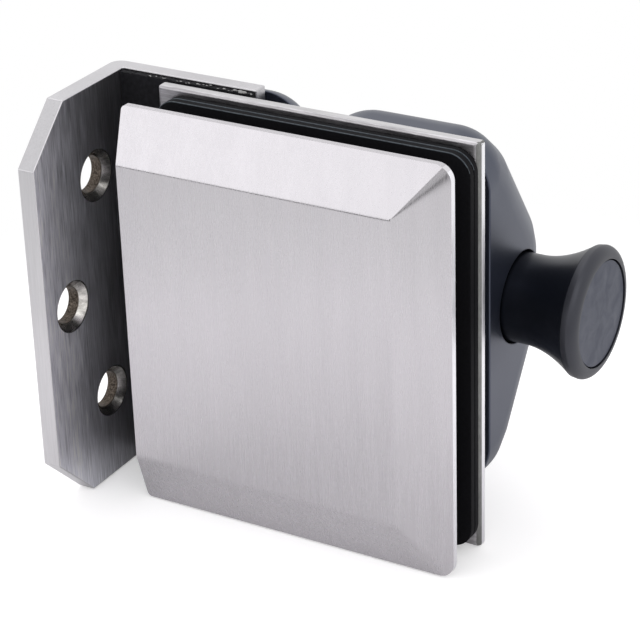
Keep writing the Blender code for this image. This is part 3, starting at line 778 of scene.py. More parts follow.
# Painted highlight: lighter rubber for the rounded top front edge of each sheet.
RUBBER_PAINTED_HIGHLIGHT = Moulded("rubber_painted_highlight", Slot.RUBBER, (0.055, 0.068, 0.08), 0.5, 1200.0, 0.00004, 1.6, 0.4)
PAD_RUBBER = Moulded("pad_rubber", Slot.RUBBER, (0.010, 0.010, 0.012), 0.7, 1100.0, 0.00012, 1.8, 0.15)
DRIED_GLUE = Moulded("dried_glue", Slot.RUBBER, (0.24, 0.24, 0.235), 0.2, 1500.0, 0.00002, 0.8, 0.8)
HOUSING_NYLON = Moulded("housing_nylon", Slot.NYLON, (0.009, 0.011, 0.017), 0.34, 3200.0, 0.00001, 0.3, 1.0,
                        BLUISH,
                        1.58)
KNOB_NYLON = Moulded("knob_nylon", Slot.NYLON, (0.0025, 0.003, 0.0045), 0.32, 3600.0, 0.00001, 0.3, 0.36,
                     BLUISH)
RIM_NYLON = Moulded("rim_nylon", Slot.NYLON, (0.008, 0.0085, 0.012), 0.42, 3000.0, 0.00001, 0.5, 0.8,
                    PALE_BLUE)
DISC_NYLON = Moulded("disc_nylon", Slot.NYLON, (0.006, 0.007, 0.012), 0.36, 1400.0, 0.00001, 1.0, 0.85, BLUER,
                     marks_rough=0.15, marks_size=220.0)
BUSH_NYLON = Moulded("bush_nylon", Slot.NATURAL, (0.72, 0.70, 0.64), 0.45, 2600.0, 0.00002, 0.1)


class Rule:
    """A geometry tree in the making, with named number inputs and a material input.

    Attributes:
        tree: the tree.
        values: its number inputs, in order.
        index: the index of a point.
    """

    def __init__(self, name: str, inputs: dict[str, float]) -> None:
        """Start the tree.

        Args:
            name: its name.
            inputs: input names with their starting values.
        """
        self.tree = bpy.data.node_groups.new(name, "GeometryNodeTree")
        sockets = self.tree.interface
        sockets.new_socket("Geometry", in_out="OUTPUT", socket_type="NodeSocketGeometry")
        for key, start in inputs.items():
            sockets.new_socket(key, in_out="INPUT", socket_type="NodeSocketFloat").default_value = start
        sockets.new_socket("Finish", in_out="INPUT", socket_type="NodeSocketMaterial")
        self.source = self.tree.nodes.new("NodeGroupInput")
        self.values = [Value(self.tree, self.source.outputs[key]) for key in inputs]
        self.index = self.out("GeometryNodeInputIndex")

    def out(self, kind: str, sockets: Optional[dict] = None, key: object = 0, **settings: object) -> Value:
        """Add a node to this tree; see the function of the same name."""
        return out(self.tree, kind, sockets, key, **settings)

    def move(self, shape: Value, *place: object) -> Value:
        """Set the place of each point of a shape."""
        spot = self.out("ShaderNodeCombineXYZ", dict(enumerate(place)))
        return self.out("GeometryNodeSetPosition", {"Geometry": shape, "Position": spot})

    def line(self, count: object) -> Value:
        """A mesh line, whose places the tree sets afterwards."""
        return self.out("GeometryNodeMeshLine", {"Count": count, "Offset": (0.01, 0.0, 0.0)})

    def tube(self, count: object, place: Sequence[object], sides: int, radius: object,
             **sockets: object) -> Value:
        """A closed tube along a path.

        Args:
            count: points along the path.
            place: the place of each point, from its index.
            sides: sides of the tube.
            radius: radius of the tube.
            sockets: other inputs of the sweep.

        Returns:
            The tube.
        """
        path = self.move(self.out("GeometryNodeMeshToCurve", {0: self.line(count)}), *place)
        section = self.out("GeometryNodeCurvePrimitiveCircle", {"Resolution": sides, "Radius": radius})
        return self.out("GeometryNodeCurveToMesh", {"Curve": path, "Profile Curve": section,
                                                    "Fill Caps": True,
                                                    **sockets})

    def close(self, shape: Value) -> Tree:
        """End the tree with real geometry and its material."""
        real = self.out("GeometryNodeRealizeInstances", {0: shape})
        dressed = self.out("GeometryNodeSetMaterial", {"Geometry": real,
                                                       "Material": self.source.outputs["Finish"]})
        feed(self.tree, self.tree.nodes.new("NodeGroupOutput"), {0: dressed})
        return self.tree


def grow(name: str, make: Callable[[], Tree], values: dict[str, float], finish: Finish) -> Obj:
    """Run a geometry tree with its inputs set and keep the result as a plain mesh.

    Args:
        name: name of the new object.
        make: builds the tree, the first time.
        values: inputs that differ from the tree's own, in millimetres or plain numbers.
        finish: the material that the tree gives the mesh.

    Returns:
        The new object, in metres.
    """
    holder = bpy.data.objects.new(name, bpy.data.meshes.new(name))
    bpy.context.scene.collection.objects.link(holder)
    step = holder.modifiers.new("rule", "NODES")
    step.node_group = bpy.data.node_groups.get(make.__name__) or make()
    for item in step.node_group.interface.items_tree:
        if item.in_out == "INPUT" and item.name in values:
            step[item.identifier] = float(values[item.name])
        elif item.in_out == "INPUT" and item.name == "Finish":
            step[item.identifier] = finish.material()
    bake(holder)
    with edit(holder) as bm:
        bmesh.ops.remove_doubles(bm, verts=bm.verts, dist=1e-5)
        bmesh.ops.recalc_face_normals(bm, faces=bm.faces)
        bm.transform(Matrix.Scale(MM, 4))
    return holder


def coil_rule() -> Tree:
    """Rule for a compression spring about the X axis, with one flat coil at each end."""
    rule = Rule("coil_rule", {"Start": 0.0, "End": 10.0, "Radius": 5.0, "Turns": 4.0, "Wire": 0.4,
                              "Gap": 0.02,
                              "Y": 0.0, "Z": 0.0, "Steps": 40.0})
    start, end, radius, turns, wire, gap, y, z, steps = rule.values
    rise = wire * 2.0 + gap
    low = start + wire
    pitch = (end - wire - low - rise * 2.0) / turns
    turn = rule.index / steps
    body = (turn - 1.0).at_least(0.0).at_most(turns)
    last = (turn - (turns + 1.0)).at_least(0.0) * rise
    along = low + turn.at_most(1.0) * rise + (body * pitch + last)
    angle = turn * (2 * math.pi)
    place = (along, angle.of("COSINE") * radius + y, angle.of("SINE") * radius + z)
    return rule.close(rule.tube((turns + 2.0) * steps + 1.0, place, 12, wire))


def thread_rule() -> Tree:
    """Rule for a threaded rod along the Y axis: its radius follows the turn of the thread."""
    rule = Rule("thread_rule", {"Start": 0.0, "Length": 10.0, "Radius": 2.0, "Pitch": 0.7, "Depth": 0.32,
                                "Rows": 9.0})
    start, length, radius, pitch, depth, rows = rule.values
    count = length / pitch * rows + 1.0
    tube = rule.tube(count, (0.0, rule.index / (count - 1.0) * length + start), 32, radius)
    x, y, z = split(rule.tree, rule.out("GeometryNodeInputPosition"))
    phase = (y / pitch - z.of("ARCTAN2", x) / (2 * math.pi)).of("FRACT")
    valley = (phase * 2.0 - 1.0).of("ABSOLUTE")
    from_start = y - start
    fade = (from_start.at_most(length - from_start) / pitch).at_most(1.0)
    scale = (radius - valley * depth * fade) / radius
    return rule.close(rule.move(tube, x * scale, y, z * scale))


def flare_rule() -> Tree:
    """Rule for the knob's outside: neck, flared waist and rounded rim, turned about the X axis."""
    rule = Rule("flare_rule", {"Start": 0.0, "Neck": 10.3, "Edge": 0.5, "Waist": 9.0, "Rim Start": 20.0,
                               "Face": 24.0, "Flare": 15.1, "Rim": 15.3, "Power": 1.9, "Round Deep": 2.2,
                               "Round Wide": 2.75, "Rows": 96.0})
    start, neck, edge, waist, rim_start, face, flare, rim, power, deep, wide, rows = rule.values
    step = rule.index / (rows / 3.0)
    on_neck, on_flare, on_round = ((step - float(part)).at_least(0.0).at_most(1.0) for part in range(3))
    half_turn = on_round * (math.pi / 2)
    on_rim = on_round.of("GREATER_THAN", 0.0)
    along = on_neck * (waist - start) + start + on_flare * (rim_start - waist)
    along = along + on_rim * (face - deep - rim_start) + half_turn.of("SINE") * deep
    off = (edge - (along - start)).at_least(0.0)
    radius = neck + on_flare.of("POWER", power) * (flare - neck) - off + (rim - flare) * on_rim
    radius = radius - (wide - half_turn.of("COSINE") * wide)
    return rule.close(rule.tube(rows + 1.0, (along,), 128, 1.0, Scale=radius))


# The line that the pin, the magnet and the knob share, and planes that several pieces meet at.
LINE_Y = 31.3
LINE_Z = 5.0
LINE: Place = (0.0, LINE_Y, LINE_Z)
PLATE_FRONT = 10.4
PLATE_REAR = 13.3
COVER_REAR = -2.35
LEG_FRONT = 16.4
LEG_REAR = 20.3
CLAMP_X = 46.0
CLAMP_Z = 28.0
HOUSING_X = 77.6
KEEPER_X = 29.2
SCREW_REACH = 30.9
SEAT = 0.25
EDGE_BALL = 12.0
SMALL_BORE = 2.3
SMALL_HEAD = 4.3


def seat(at: Place, thick: float, bore: float, head: float, way: int = 1) -> Obj:
    """A cutter for a screw's countersunk seat.

    Args:
        at: middle of the seat, on the face that the head lies in.
        thick: thickness of the sheet.
        bore: radius of the hole.
        head: radius of the seat at the face.
        way: 1 when the screw points to the rear, -1 when it points to the front.

    Returns:
        The cutter.
    """
    line = [(way * (thick + OVERCUT), bore), (way * (head - bore), bore), (-way * OVERCUT, head + OVERCUT)]
    return turned("cut_seat", line, Axis.Y, at, 64)


@dataclass
class Screw:
    """A countersunk screw along Y, with a hexagon socket and a real thread.

    Attributes:
        name: the CAD node that it stands for.
        at: middle of its head's face.
        head: radius of the head.
        shank: radius over the thread.
        length: whole length.
        rearward: True when it points to the rear.
    """

    name: str
    at: Place
    head: float
    shank: float
    length: float
    rearward: bool
    head_edge: float = 0.3
    key_share: float = 0.48
    key_deep: float = 0.75
    pitch: float = 0.7
    round_edge: float = 0.12

    def build(self) -> Obj:
        """Make the head, cut its socket, and join the threaded shank to it."""
        way = 1 if self.rearward else -1
        cone = self.head_edge + self.head - self.shank
        neck = cone + self.pitch
        line = [(0.0, self.head - self.round_edge), (way * self.round_edge, self.head),
                (way * self.head_edge, self.head), (way * cone, self.shank), (way * neck, self.shank - 0.05)]
        head = turned(self.name + "_threaded", line, Axis.Y, self.at, 64)
        deep = way * self.key_deep * cone
        across = self.key_share * self.head
        mouth = across + self.round_edge
        key = turned("cut_key", [(-way * OVERCUT, mouth + OVERCUT), (0.0, mouth), (way * self.round_edge,
                                                                                   across),
                                 (deep, across)], Axis.Y, self.at, 6)
        combine(head, Join.CUT, [key])
        start = neck - self.pitch / 2
        values = {"Start": start, "Length": self.length - start, "Radius": self.shank, "Pitch": self.pitch}
        thread = grow("thread", thread_rule, values, SCREW_FINISH)
        if not self.rearward:
            thread.data.transform(Matrix.Rotation(math.pi, 4, "X"))
        thread.data.transform(Matrix.Translation(Vector(self.at) * MM))
        combine(head, Join.ADD, [thread])
        head.data.materials.clear()
        settle(head, 28.0)
        return ship(head, SCREW_FINISH, Body.LATCH, [self.name])


@dataclass
class WallBracket:
    """The steel angle: a leg on the wall with three countersunk holes, and a leg behind the glass."""

    height: float = 100.0
    leg: float = 4.4
    back_leg: float = 3.9
    reach: float = 40.4
    bend_outer: float = 3.0
    bend_inner: float = 0.5
    cut_y: float = 12.8
    cut_z: float = 12.5
    edge: float = 0.3
    bend_steps: int = 12
    bore: float = 4.4
    sink: float = 6.3
    lip: float = 0.16
    lip_wide: float = 0.34
    holes: tuple[Point, ...] = ((2.9, 28.0), (-9.9, 0.0), (2.9, -28.0))
    finish: Finish = EDGE_STEEL

    def section(self) -> list[Point]:
        """The angle seen from above, as X and Y points."""
        inner_x = self.leg + self.bend_inner
        inner_y = LEG_FRONT - self.bend_inner
        points = [(0.0, -LEG_REAR), (self.leg, -LEG_REAR)]
        for step in range(self.bend_steps + 1):
            angle = math.radians(180 - 90 * step / self.bend_steps)
            points.append((inner_x + self.bend_inner * math.cos(angle),
                           inner_y + self.bend_inner * math.sin(angle)))
        points += [(self.reach, LEG_FRONT), (self.reach, LEG_REAR)]
        for step in range(self.bend_steps + 1):
            angle = math.radians(90 + 90 * step / self.bend_steps)
            points.append((self.bend_outer + self.bend_outer * math.cos(angle),
                           LEG_REAR - self.bend_outer + self.bend_outer * math.sin(angle)))
        return points

    def build(self) -> Obj:
        """Bend the angle, cut its corners, round its edges and sink its holes."""
        half = self.height / 2
        bm = prism(self.section(), -half, half, Axis.Z)
        for side in (-1, 1):
            slice_off(bm, (0, -LEG_REAR, side * (half - self.cut_z)), (0, -self.cut_z, side * self.cut_y))
        bracket = soften(write_mesh("steel_angle", bm), self.edge, 3)
        cone = self.sink - self.lip_wide
        tools = []
        for y, z in self.holes:
            line = [(-self.leg - OVERCUT, self.bore), (-(cone - self.bore) - self.lip, self.bore),
                    (-self.lip, cone), (0.0, self.sink),
                    (OVERCUT, self.sink + OVERCUT * self.lip_wide / self.lip)]
            tools.append(turned("cut_hole", line, Axis.X, (self.leg, y, z), 96))
        for _, side in SIDES:
            place = (KEEPER_X, LEG_FRONT, LINE_Z + side * SCREW_REACH)
            tools.append(seat(place, self.back_leg, SMALL_BORE, SMALL_HEAD))
        combine(bracket, Join.CUT, tools)
        dress(bracket, (self.finish, BORE_STEEL, LEG_STEEL_PAINTED_SHADE), self.face_finish)
        settle(bracket)
        return ship(bracket, self.finish, Body.LATCH, ["wall_bracket"])

    def face_finish(self, face: Face) -> int:
        """1 for a face of a wall hole, 2 for the wall leg's inner face, which takes painted shade along Y, 0 for
        the others.
        """
        x, y, z = face.center / MM
        near = any(math.hypot(y - hole_y, z - hole_z) < self.sink for hole_y, hole_z in self.holes)
        if near and x < self.leg and abs(face.normal.x) < 0.95:
            return 1
        return 2 if face.normal.x > 0.99 and x < self.leg + SAME else 0


def bead_rule() -> Tree:
    """Rule for beads of dried glue, squeezed out along the top edge of a pad."""
    rule = Rule("bead_rule", {"Start": 7.0, "End": 39.0, "Y": 14.9, "Z": 49.55, "Size": 0.2, "Count": 60.0,
                              "Seed": 3.0})
    start, end, y, z, size, count, seed = rule.values

    def chance(step: int, low: float, high: float) -> Value:
        """A random number a point, with its own seed."""
        return rule.out("FunctionNodeRandomValue", {"Seed": seed + float(step), 2: low, 3: high}, 1,
                        data_type="FLOAT")

    share = chance(0, 0.0, 1.0).of("POWER", 0.6)
    points = rule.move(rule.line(count), share * (end - start) + start, y + chance(1, -0.1, 0.8),
                       z + chance(2, -0.35, 0.15))
    bead = rule.out("GeometryNodeMeshIcoSphere", {"Radius": size, "Subdivisions": 3})
    grade = chance(3, 0.35, 1.0).of("POWER", 2.0) * (share.of("POWER", 14.0) * 1.2 + 1.0)
    wide = rule.out("ShaderNodeCombineXYZ", {0: grade * 2.2, 1: grade, 2: grade})
    return rule.close(rule.out("GeometryNodeInstanceOnPoints", {"Points": points, "Instance": bead,
                                                                "Scale": wide}))


@dataclass
class StopPad:
    """The rubber pad that is glued on the back leg, cut by hand, with dried glue along its top edge."""

    left: float = 4.7
    right: float = 40.1
    start: float = 14.75
    end: float = 16.15
    half: float = 49.75
    step: float = 0.35
    ragged: float = 0.5
    steps_seed: float = 12.9898

    def ragged_line(self) -> list[Point]:
        """The top edge, whose height wanders as a blade's would."""
        points = []
        count = int((self.right - self.left) / self.step)
        for index in range(1, count):
            x = self.right - (self.right - self.left) * index / count
            wander = 0.5 + 0.25 * math.sin(1.7 * x) + 0.25 * math.sin(4.3 * x + 1.0)
            scatter = math.fmod(abs(math.sin(index * self.steps_seed) * 43758.5453), 1.0)
            points.append((x, self.half - self.ragged * (0.5 * wander + 0.5 * scatter)))
        return points

    def build(self) -> Obj:
        """Cut the pad, and set the glue on it."""
        low = [(self.left, -self.half), (self.right, -self.half), (self.right, self.half - 0.4)]
        outline = low + self.ragged_line() + [(self.left, self.half - 0.3)]
        pad = write_mesh("stop_pad_sheet", prism(outline, self.start, self.end, Axis.Y))
        pad.data.materials.append(PAD_RUBBER.material())
        settle(pad)
        glue = grow("glue", bead_rule, {"Start": self.left + 1.0, "End": self.right - 0.6}, DRIED_GLUE)
        glue.data.materials.clear()
        with edit(pad) as bm:
            first = len(bm.faces)
            bm.from_mesh(glue.data)
            bm.faces.ensure_lookup_table()
            for face in bm.faces[first:]:
                face.material_index = 1
                face.smooth = True
        bpy.data.objects.remove(glue)
        pad.data.materials.append(DRIED_GLUE.material())
        return ship(pad, PAD_RUBBER, Body.LATCH, ["stop_pad"])


@dataclass
class ClampStack:
    """The bevelled cover, the rubber sheets, the back plate, and what clamps them on the glass."""

    height: float = 100.0
    left: float = 17.8
    right: float = 99.8
    flat: float = -7.82
    rim: float = -3.99
    bevels: tuple[float, float, float] = (13.0, 12.5, 12.65)
    corner_right: float = 3.8
    corner_left: float = 1.0
    boss: float = 5.5
    thread: float = 2.8
    crisp: float = 0.28
    soft: float = 0.9
    mitre_steps: int = 6
    shading_cut: float = 0.35
    mitre_width: float = 4.6
    mitre_turn: float = 10.0
    rim_round: float = 1.0
    corner_steps: int = 16
    gaskets: tuple[tuple[str, float, float, float, float], ...] = (
        ("cover_gasket", -2.1, -1.6, 18.3, 49.4), ("plate_gasket_outer", 6.4, 8.15, 19.6, 48.3),
        ("plate_gasket_inner", 8.4, 10.15, 19.6, 48.3))
    gasket_right: float = 99.0
    gasket_corner: float = 5.3
    gasket_round: float = 0.2
    gasket_hole: float = 8.3
    plate_left: float = 17.9
    plate_right: float = 99.25
    plate_half: float = 49.8
    plate_roll: float = 1.7
    plate_other: float = 0.45
    bush_inner: float = 5.8
    bush_outer: float = 8.0
    bush_front: float = -1.35
    bush_rear: float = 6.15
    bush_edge: float = 0.2
    boss_root: float = 0.82
    seat_bore: float = 2.8
    seat_head: float = 5.2

    def crease_width(self, edge: bmesh.types.BMEdge) -> float:
        """The rounding of a crease round the cover's flat, in millimetres, or nothing for another edge."""
        one, two = (vert.co for vert in edge.verts)
        if max(one.y, two.y) > self.flat + SAME or max(one.x, two.x) < self.left + 1:
            return 0.0
        if abs(one.z - two.z) > 1:
            return self.soft
        return self.crisp if one.z > 0 else self.soft

    def mitre_planes(self, side: int) -> list[tuple[Vector, Vector]]:
        """Planes that round the side bevel up to one mitre: a cone that widens from the flat to the corner.

        Args:
            side: 1 for the upper mitre, -1 for the lower one.

        Returns:
            A point and a normal for each plane.
        """
        rise, deep = self.rim - self.flat, self.bevels[0 if side > 0 else 1]
        start = Vector((self.right - self.bevels[2], self.flat, side * (self.height / 2 - deep)))
        along = Vector((self.bevels[2], rise, side * deep))
        across = Vector((0, -deep, side * rise)).normalized() - Vector((rise, -self.bevels[2],
                                                                        0)).normalized()
        across.normalize()
        facing = Vector((rise, -self.bevels[2], 0)).normalized()
        rate = math.tan(math.radians(self.mitre_turn)) / (3 * self.mitre_width ** 2)
        planes = []
        for step in range(1, self.mitre_steps + 1):
            share = self.mitre_width * step / self.mitre_steps
            drop = rate * share ** 2 * (3 * self.mitre_width - 2 * share)
            turn = math.atan(3 * rate * share ** 2)
            normal = facing * math.cos(turn) + across * math.sin(turn) + along * (drop / along.length_squared)
            planes.append((start, normal.normalized()))
        return planes

    def build_cover(self) -> Obj:
        """Plane the three bevels, round each crease, cut the corners, and add the clamp bosses."""
        half = self.height / 2
        bm = prism([(self.left, -half), (self.right, -half), (self.right, half), (self.left, half)],
                   self.flat, COVER_REAR, Axis.Y)
        rise = self.rim - self.flat
        top, bottom, side = self.bevels
        slice_off(bm, (0, self.rim, half), (0, -top, rise))
        slice_off(bm, (0, self.rim, -half), (0, -bottom, -rise))
        slice_off(bm, (self.right, self.rim, 0), (rise, -side, 0))
        cover = roll("bevelled_cover", bm, self.soft, 4, self.crease_width)
        with edit(cover) as bm:
            for point, normal in self.mitre_planes(1) + self.mitre_planes(-1):
                slice_off(bm, point * MM, normal)
        radii = (self.corner_left, self.corner_right, self.corner_right, self.corner_left)
        outline = corners((self.left, -half), (self.right, half), radii, self.corner_steps)
        blank = prism(outline, self.flat - OVERCUT, COVER_REAR + OVERCUT, Axis.Y)
        combine(cover, Join.MEET, [write_mesh("keep_corners", blank)])
        soften(cover, self.rim_round, 7, 50.0)
        root = COVER_REAR - self.boss_root
        posts = [rod("add_boss", root, PLATE_FRONT - SEAT, self.boss, Axis.Y, (CLAMP_X, 0, side * CLAMP_Z))
                 for _, side in SIDES]
        combine(cover, Join.ADD, posts)
        bores = [rod("cut_bore", COVER_REAR, PLATE_FRONT + OVERCUT, self.thread, Axis.Y,
                     (CLAMP_X, 0, side * CLAMP_Z)) for _, side in SIDES]
        combine(cover, Join.CUT, bores)
        with edit(cover) as bm:
            for height in (half - top - self.shading_cut, self.shading_cut + bottom - half):
                bmesh.ops.bisect_plane(bm, geom=bm.verts[:] + bm.edges[:] + bm.faces[:],
                                       plane_co=(0, 0, height * MM), plane_no=(0, 0, 1))
        dress(cover, (SATIN, RIM_PAINTED_HIGHLIGHT, STEEL_PAINTED_HIGHLIGHT), self.cover_finish)
        settle(cover, 12.0)
        return ship(cover, SATIN, Body.LATCH, ["front_cover"])

    def cover_finish(self, face: Face) -> int:
        """Painted highlight where the rim of the cover turns toward the knob: lighter steel on the rounding,
        lightest where it faces the knob.
        """
        if face.normal.y > 0.1 or face.normal.x < 0.45:
            return 0
        return 2 if face.normal.x > 0.8 else 1

    def build_gasket(self, name: str, start: float, end: float, left: float, half: float) -> Obj:
        """Cut one rubber sheet, with a painted highlight on its rounded top front edge and a hole round each boss.
        """
        radii = (self.gasket_corner,) * 4
        outline = corners((left, -half), (self.gasket_right, half), radii, 12)
        sheet = soften(write_mesh(name + "_sheet", prism(outline, start, end, Axis.Y)), self.gasket_round, 2)
        holes = [rod("cut_hole", start - OVERCUT, end + OVERCUT, self.gasket_hole, Axis.Y,
                     (CLAMP_X, 0, side * CLAMP_Z)) for _, side in SIDES]
        combine(sheet, Join.CUT, holes)
        # Faces of the rounded top front edge take the painted highlight.
        dress(sheet, (SHEET_RUBBER, RUBBER_PAINTED_HIGHLIGHT),
              lambda face: int(-0.97 < face.normal.y < -0.2 and face.normal.z > 0.2))
        settle(sheet)
        return ship(sheet, SHEET_RUBBER, Body.LATCH, [name])

    def build_plate(self) -> Obj:
        """Roll the back plate's front edge by the knob, round the others and sink its screw holes."""
        left, right, half = self.plate_left, self.plate_right, self.plate_half
        bm = prism([(left, -half), (right, -half), (right, half), (left, half)], PLATE_FRONT, PLATE_REAR,
                   Axis.Y)
        plate = roll("clamp_plate", bm, self.plate_roll, 8, self.plate_width)
        tools = []
        for _, side in SIDES:
            front = (CLAMP_X, PLATE_REAR, side * CLAMP_Z)
            tools.append(seat(front, PLATE_REAR - PLATE_FRONT, self.seat_bore, self.seat_head, -1))
            rear = (HOUSING_X, PLATE_FRONT, LINE_Z + side * SCREW_REACH)
            tools.append(seat(rear, PLATE_REAR - PLATE_FRONT, SMALL_BORE, SMALL_HEAD))
        combine(plate, Join.CUT, tools)
        dress(plate, (PLATE_STEEL, MOTTLED_STEEL, STEEL_PAINTED_HIGHLIGHT, DARK_ROLL_STEEL), self.plate_finish)
        settle(plate)
        return ship(plate, PLATE_STEEL, Body.LATCH, ["back_plate"])

    def plate_width(self, edge: bmesh.types.BMEdge) -> float:
        """The rounding of an edge of the plate, in millimetres."""
        by_knob = all(vert.co.y < PLATE_FRONT + SAME and vert.co.x > self.plate_right - SAME for vert in edge.verts)
        return self.plate_roll * (1.0 if by_knob else self.plate_other)

    def plate_finish(self, face: Face) -> int:
        """2 for the side by the knob, with its painted highlight, 3 for the rolled edge before it, in darker steel,
        1 for the front, 0 for the others.
        """
        if face.normal.x > 0.35:
            return 2 if face.normal.x > 0.93 else 3
        return int(face.normal.y < -0.2)

    def build(self) -> None:
        """Build the stack from front to rear."""
        self.build_cover()
        for name, start, end, left, half in self.gaskets:
            self.build_gasket(name, start, end, left, half)
        self.build_plate()
        for word, side in SIDES:
            Screw(f"clamp_screw_{word}", (CLAMP_X, PLATE_REAR, side * CLAMP_Z), head=4.6, shank=2.5,
                  length=9.0,
                  rearward=False, pitch=0.8).build()
            front, rear, edge = self.bush_front, self.bush_rear, self.bush_edge
            line = [(front, self.bush_inner), (front, self.bush_outer - edge), (front + edge,
                                                                                self.bush_outer),
                    (rear - edge, self.bush_outer), (rear, self.bush_outer - edge), (rear, self.bush_inner)]
            bush = turned(f"sleeve_{word}", line, Axis.Y, (CLAMP_X, 0, side * CLAMP_Z), 64, True)
            settle(bush)
            ship(bush, BUSH_NYLON, Body.LATCH, [f"glass_bush_{word}"])


@dataclass
class Dome:
    """A moulded cap: the hull of balls set along a core line, hollow, and open at its rim.

    Attributes:
        name: name of the piece.
        start: its side nearer the wall.
        end: its side nearer the knob.
        rim: the plane of its mouth.
        wall: thickness of the skin.
        core: distances from the front, each with its half height, that the balls sit at.
        steps: sides of a ball.
        lip: rounding of the rim's edges.
    """

    name: str
    start: float
    end: float
    rim: float
    wall: float = 2.4
    core: tuple[Point, ...] = ((20.3, 30.9), (33.4, 14.0), (38.0, 4.5))
    steps: int = 72
    lip: float = 0.35

    def skin(self, wall: float) -> Mesh:
        """The closed hull, smaller by the wall given."""
        cloud = bmesh.new()
        spin = Matrix.Rotation(math.pi / 2, 4, "X")
        places = ((self.rim - EDGE_BALL, SCREW_REACH),) + self.core
        middles = [Vector((x, depth, LINE_Z + side * half)) for side in (-1, 1) for depth, half in places
                   for x in (self.start + EDGE_BALL, self.end - EDGE_BALL)]
        for middle in middles:
            ball = bmesh.ops.create_uvsphere(cloud, u_segments=self.steps, v_segments=self.steps // 2,
                                             radius=EDGE_BALL - wall,
                                             matrix=Matrix.Translation(middle) @ spin)
            hidden = []
            for vert in ball["verts"]:
                way = vert.co - middle
                reach = way.dot(middle) + 1e-3
                if any(way.dot(other) > reach for other in middles):
                    hidden.append(vert)
            bmesh.ops.delete(cloud, geom=hidden, context="VERTS")
        hull = bmesh.new()
        for vert in cloud.verts:
            hull.verts.new(vert.co)
        cloud.free()
        found = bmesh.ops.convex_hull(hull, input=hull.verts)
        inside = set(found["geom_interior"]) | set(found["geom_unused"])
        spare = [item for item in inside if isinstance(item, bmesh.types.BMVert)]
        bmesh.ops.delete(hull, geom=spare, context="VERTS")
        bmesh.ops.dissolve_limit(hull, angle_limit=0.002, verts=hull.verts, edges=hull.edges)
        return hull

    def face_x(self, y: float, z: float) -> float:
        """Where the side nearer the knob lies at a point beside the latch line."""
        off = 1e9
        points = [Vector((depth, half)) for depth, half in self.core]
        spot = Vector((y, abs(z - LINE_Z)))
        for low, high in zip(points, points[1:]):
            along = high - low
            share = max(0.0, min(1.0, (spot - low).dot(along) / along.length_squared))
            near = low + along * share
            gap = (spot - near).length
            inside = (spot - near).dot(Vector((abs(along.y), along.x))) <= 0
            off = min(off, 0.0 if inside and spot.x < points[-1].x else gap)
        if spot.y <= points[-1].y:
            off = max(0.0, spot.x - points[-1].x)
        return self.end - EDGE_BALL + math.sqrt(EDGE_BALL ** 2 - off ** 2)

    def shell(self, fills: Sequence[Obj]) -> Obj:
        """Cut the rim, round it, and hollow the dome round its fills."""
        outer = self.skin(0.0)
        slice_off(outer, (0, self.rim, 0), (0, -1, 0))
        bmesh.ops.remove_doubles(outer, verts=outer.verts, dist=0.15)
        edge = [item for item in outer.edges
                if all(abs(vert.co.y - self.rim) < 1e-4 for vert in item.verts)]
        bmesh.ops.bevel(outer, geom=edge, offset=self.lip, segments=3, profile=0.5, affect="EDGES",
                        clamp_overlap=True)
        made = write_mesh(self.name, outer)
        hollow = write_mesh("cut_hollow", self.skin(self.wall))
        combine(hollow, Join.CUT, fills)
        return combine(made, Join.CUT, [hollow])

    def bosses(self, x: float, start: float) -> list[Obj]:
        """Posts for the two screws, from above the base to the outer wall."""
        return [rod("add_post", start, 50.0, 4.5, Axis.Y, (x, 0, LINE_Z + side * SCREW_REACH), 40)
                for _, side in SIDES]

    def pilots(self, x: float, start: float, end: float) -> list[Obj]:
        """Holes for the two screws."""
        return [rod("cut_pilot", start, end, 2.3, Axis.Y, (x, 0, LINE_Z + side * SCREW_REACH), 40)
                for _, side in SIDES]

    def base(self, name: str, gap: float, start: float, thick: float, x: float) -> Obj:
        """The plate that closes the mouth, with its two screw holes."""
        inset = self.wall + gap
        half = SCREW_REACH + EDGE_BALL - inset
        outline = corners((self.start + inset, LINE_Z - half), (self.end - inset, LINE_Z + half),
                          (EDGE_BALL - inset,) * 4, 12)
        plate = soften(write_mesh(name + "_moulding", prism(outline, start, start + thick, Axis.Y)), 0.2, 2)
        combine(plate, Join.CUT, self.pilots(x, start - OVERCUT, start + thick + OVERCUT))
        settle(plate)
        return ship(plate, HOUSING_NYLON, Body.LATCH, [name])


def half_sleeve(start: float, end: float, inner: float, outer: float, steps: int = 24) -> Obj:
    """The rear half of a sleeve about the latch line, which cradles a sliding piece."""
    outline = []
    for radius, order in ((outer, range(steps + 1)), (inner, range(steps, -1, -1))):
        for step in order:
            angle = math.pi * step / steps
            outline.append((LINE_Y + radius * math.sin(angle), LINE_Z + radius * math.cos(angle)))
    return write_mesh("add_cradle", prism(outline, start, end, Axis.X))


def line_rod(name: str, start: float, end: float, radius: float, steps: int = 72) -> Obj:
    """A plain cylinder about the latch line."""
    return rod(name, start, end, radius, Axis.X, LINE, steps)


def line_ring(name: str, profile: Sequence[Point], finish: Finish, body: Body, stands_for: str,
              ring: bool = True, steps: int = 72) -> Obj:
    """A finished turning about the latch line; see turning for the profile."""
    made = turned(name, profile, Axis.X, LINE, steps, ring)
    settle(made)
    return ship(made, finish, body, [stands_for])


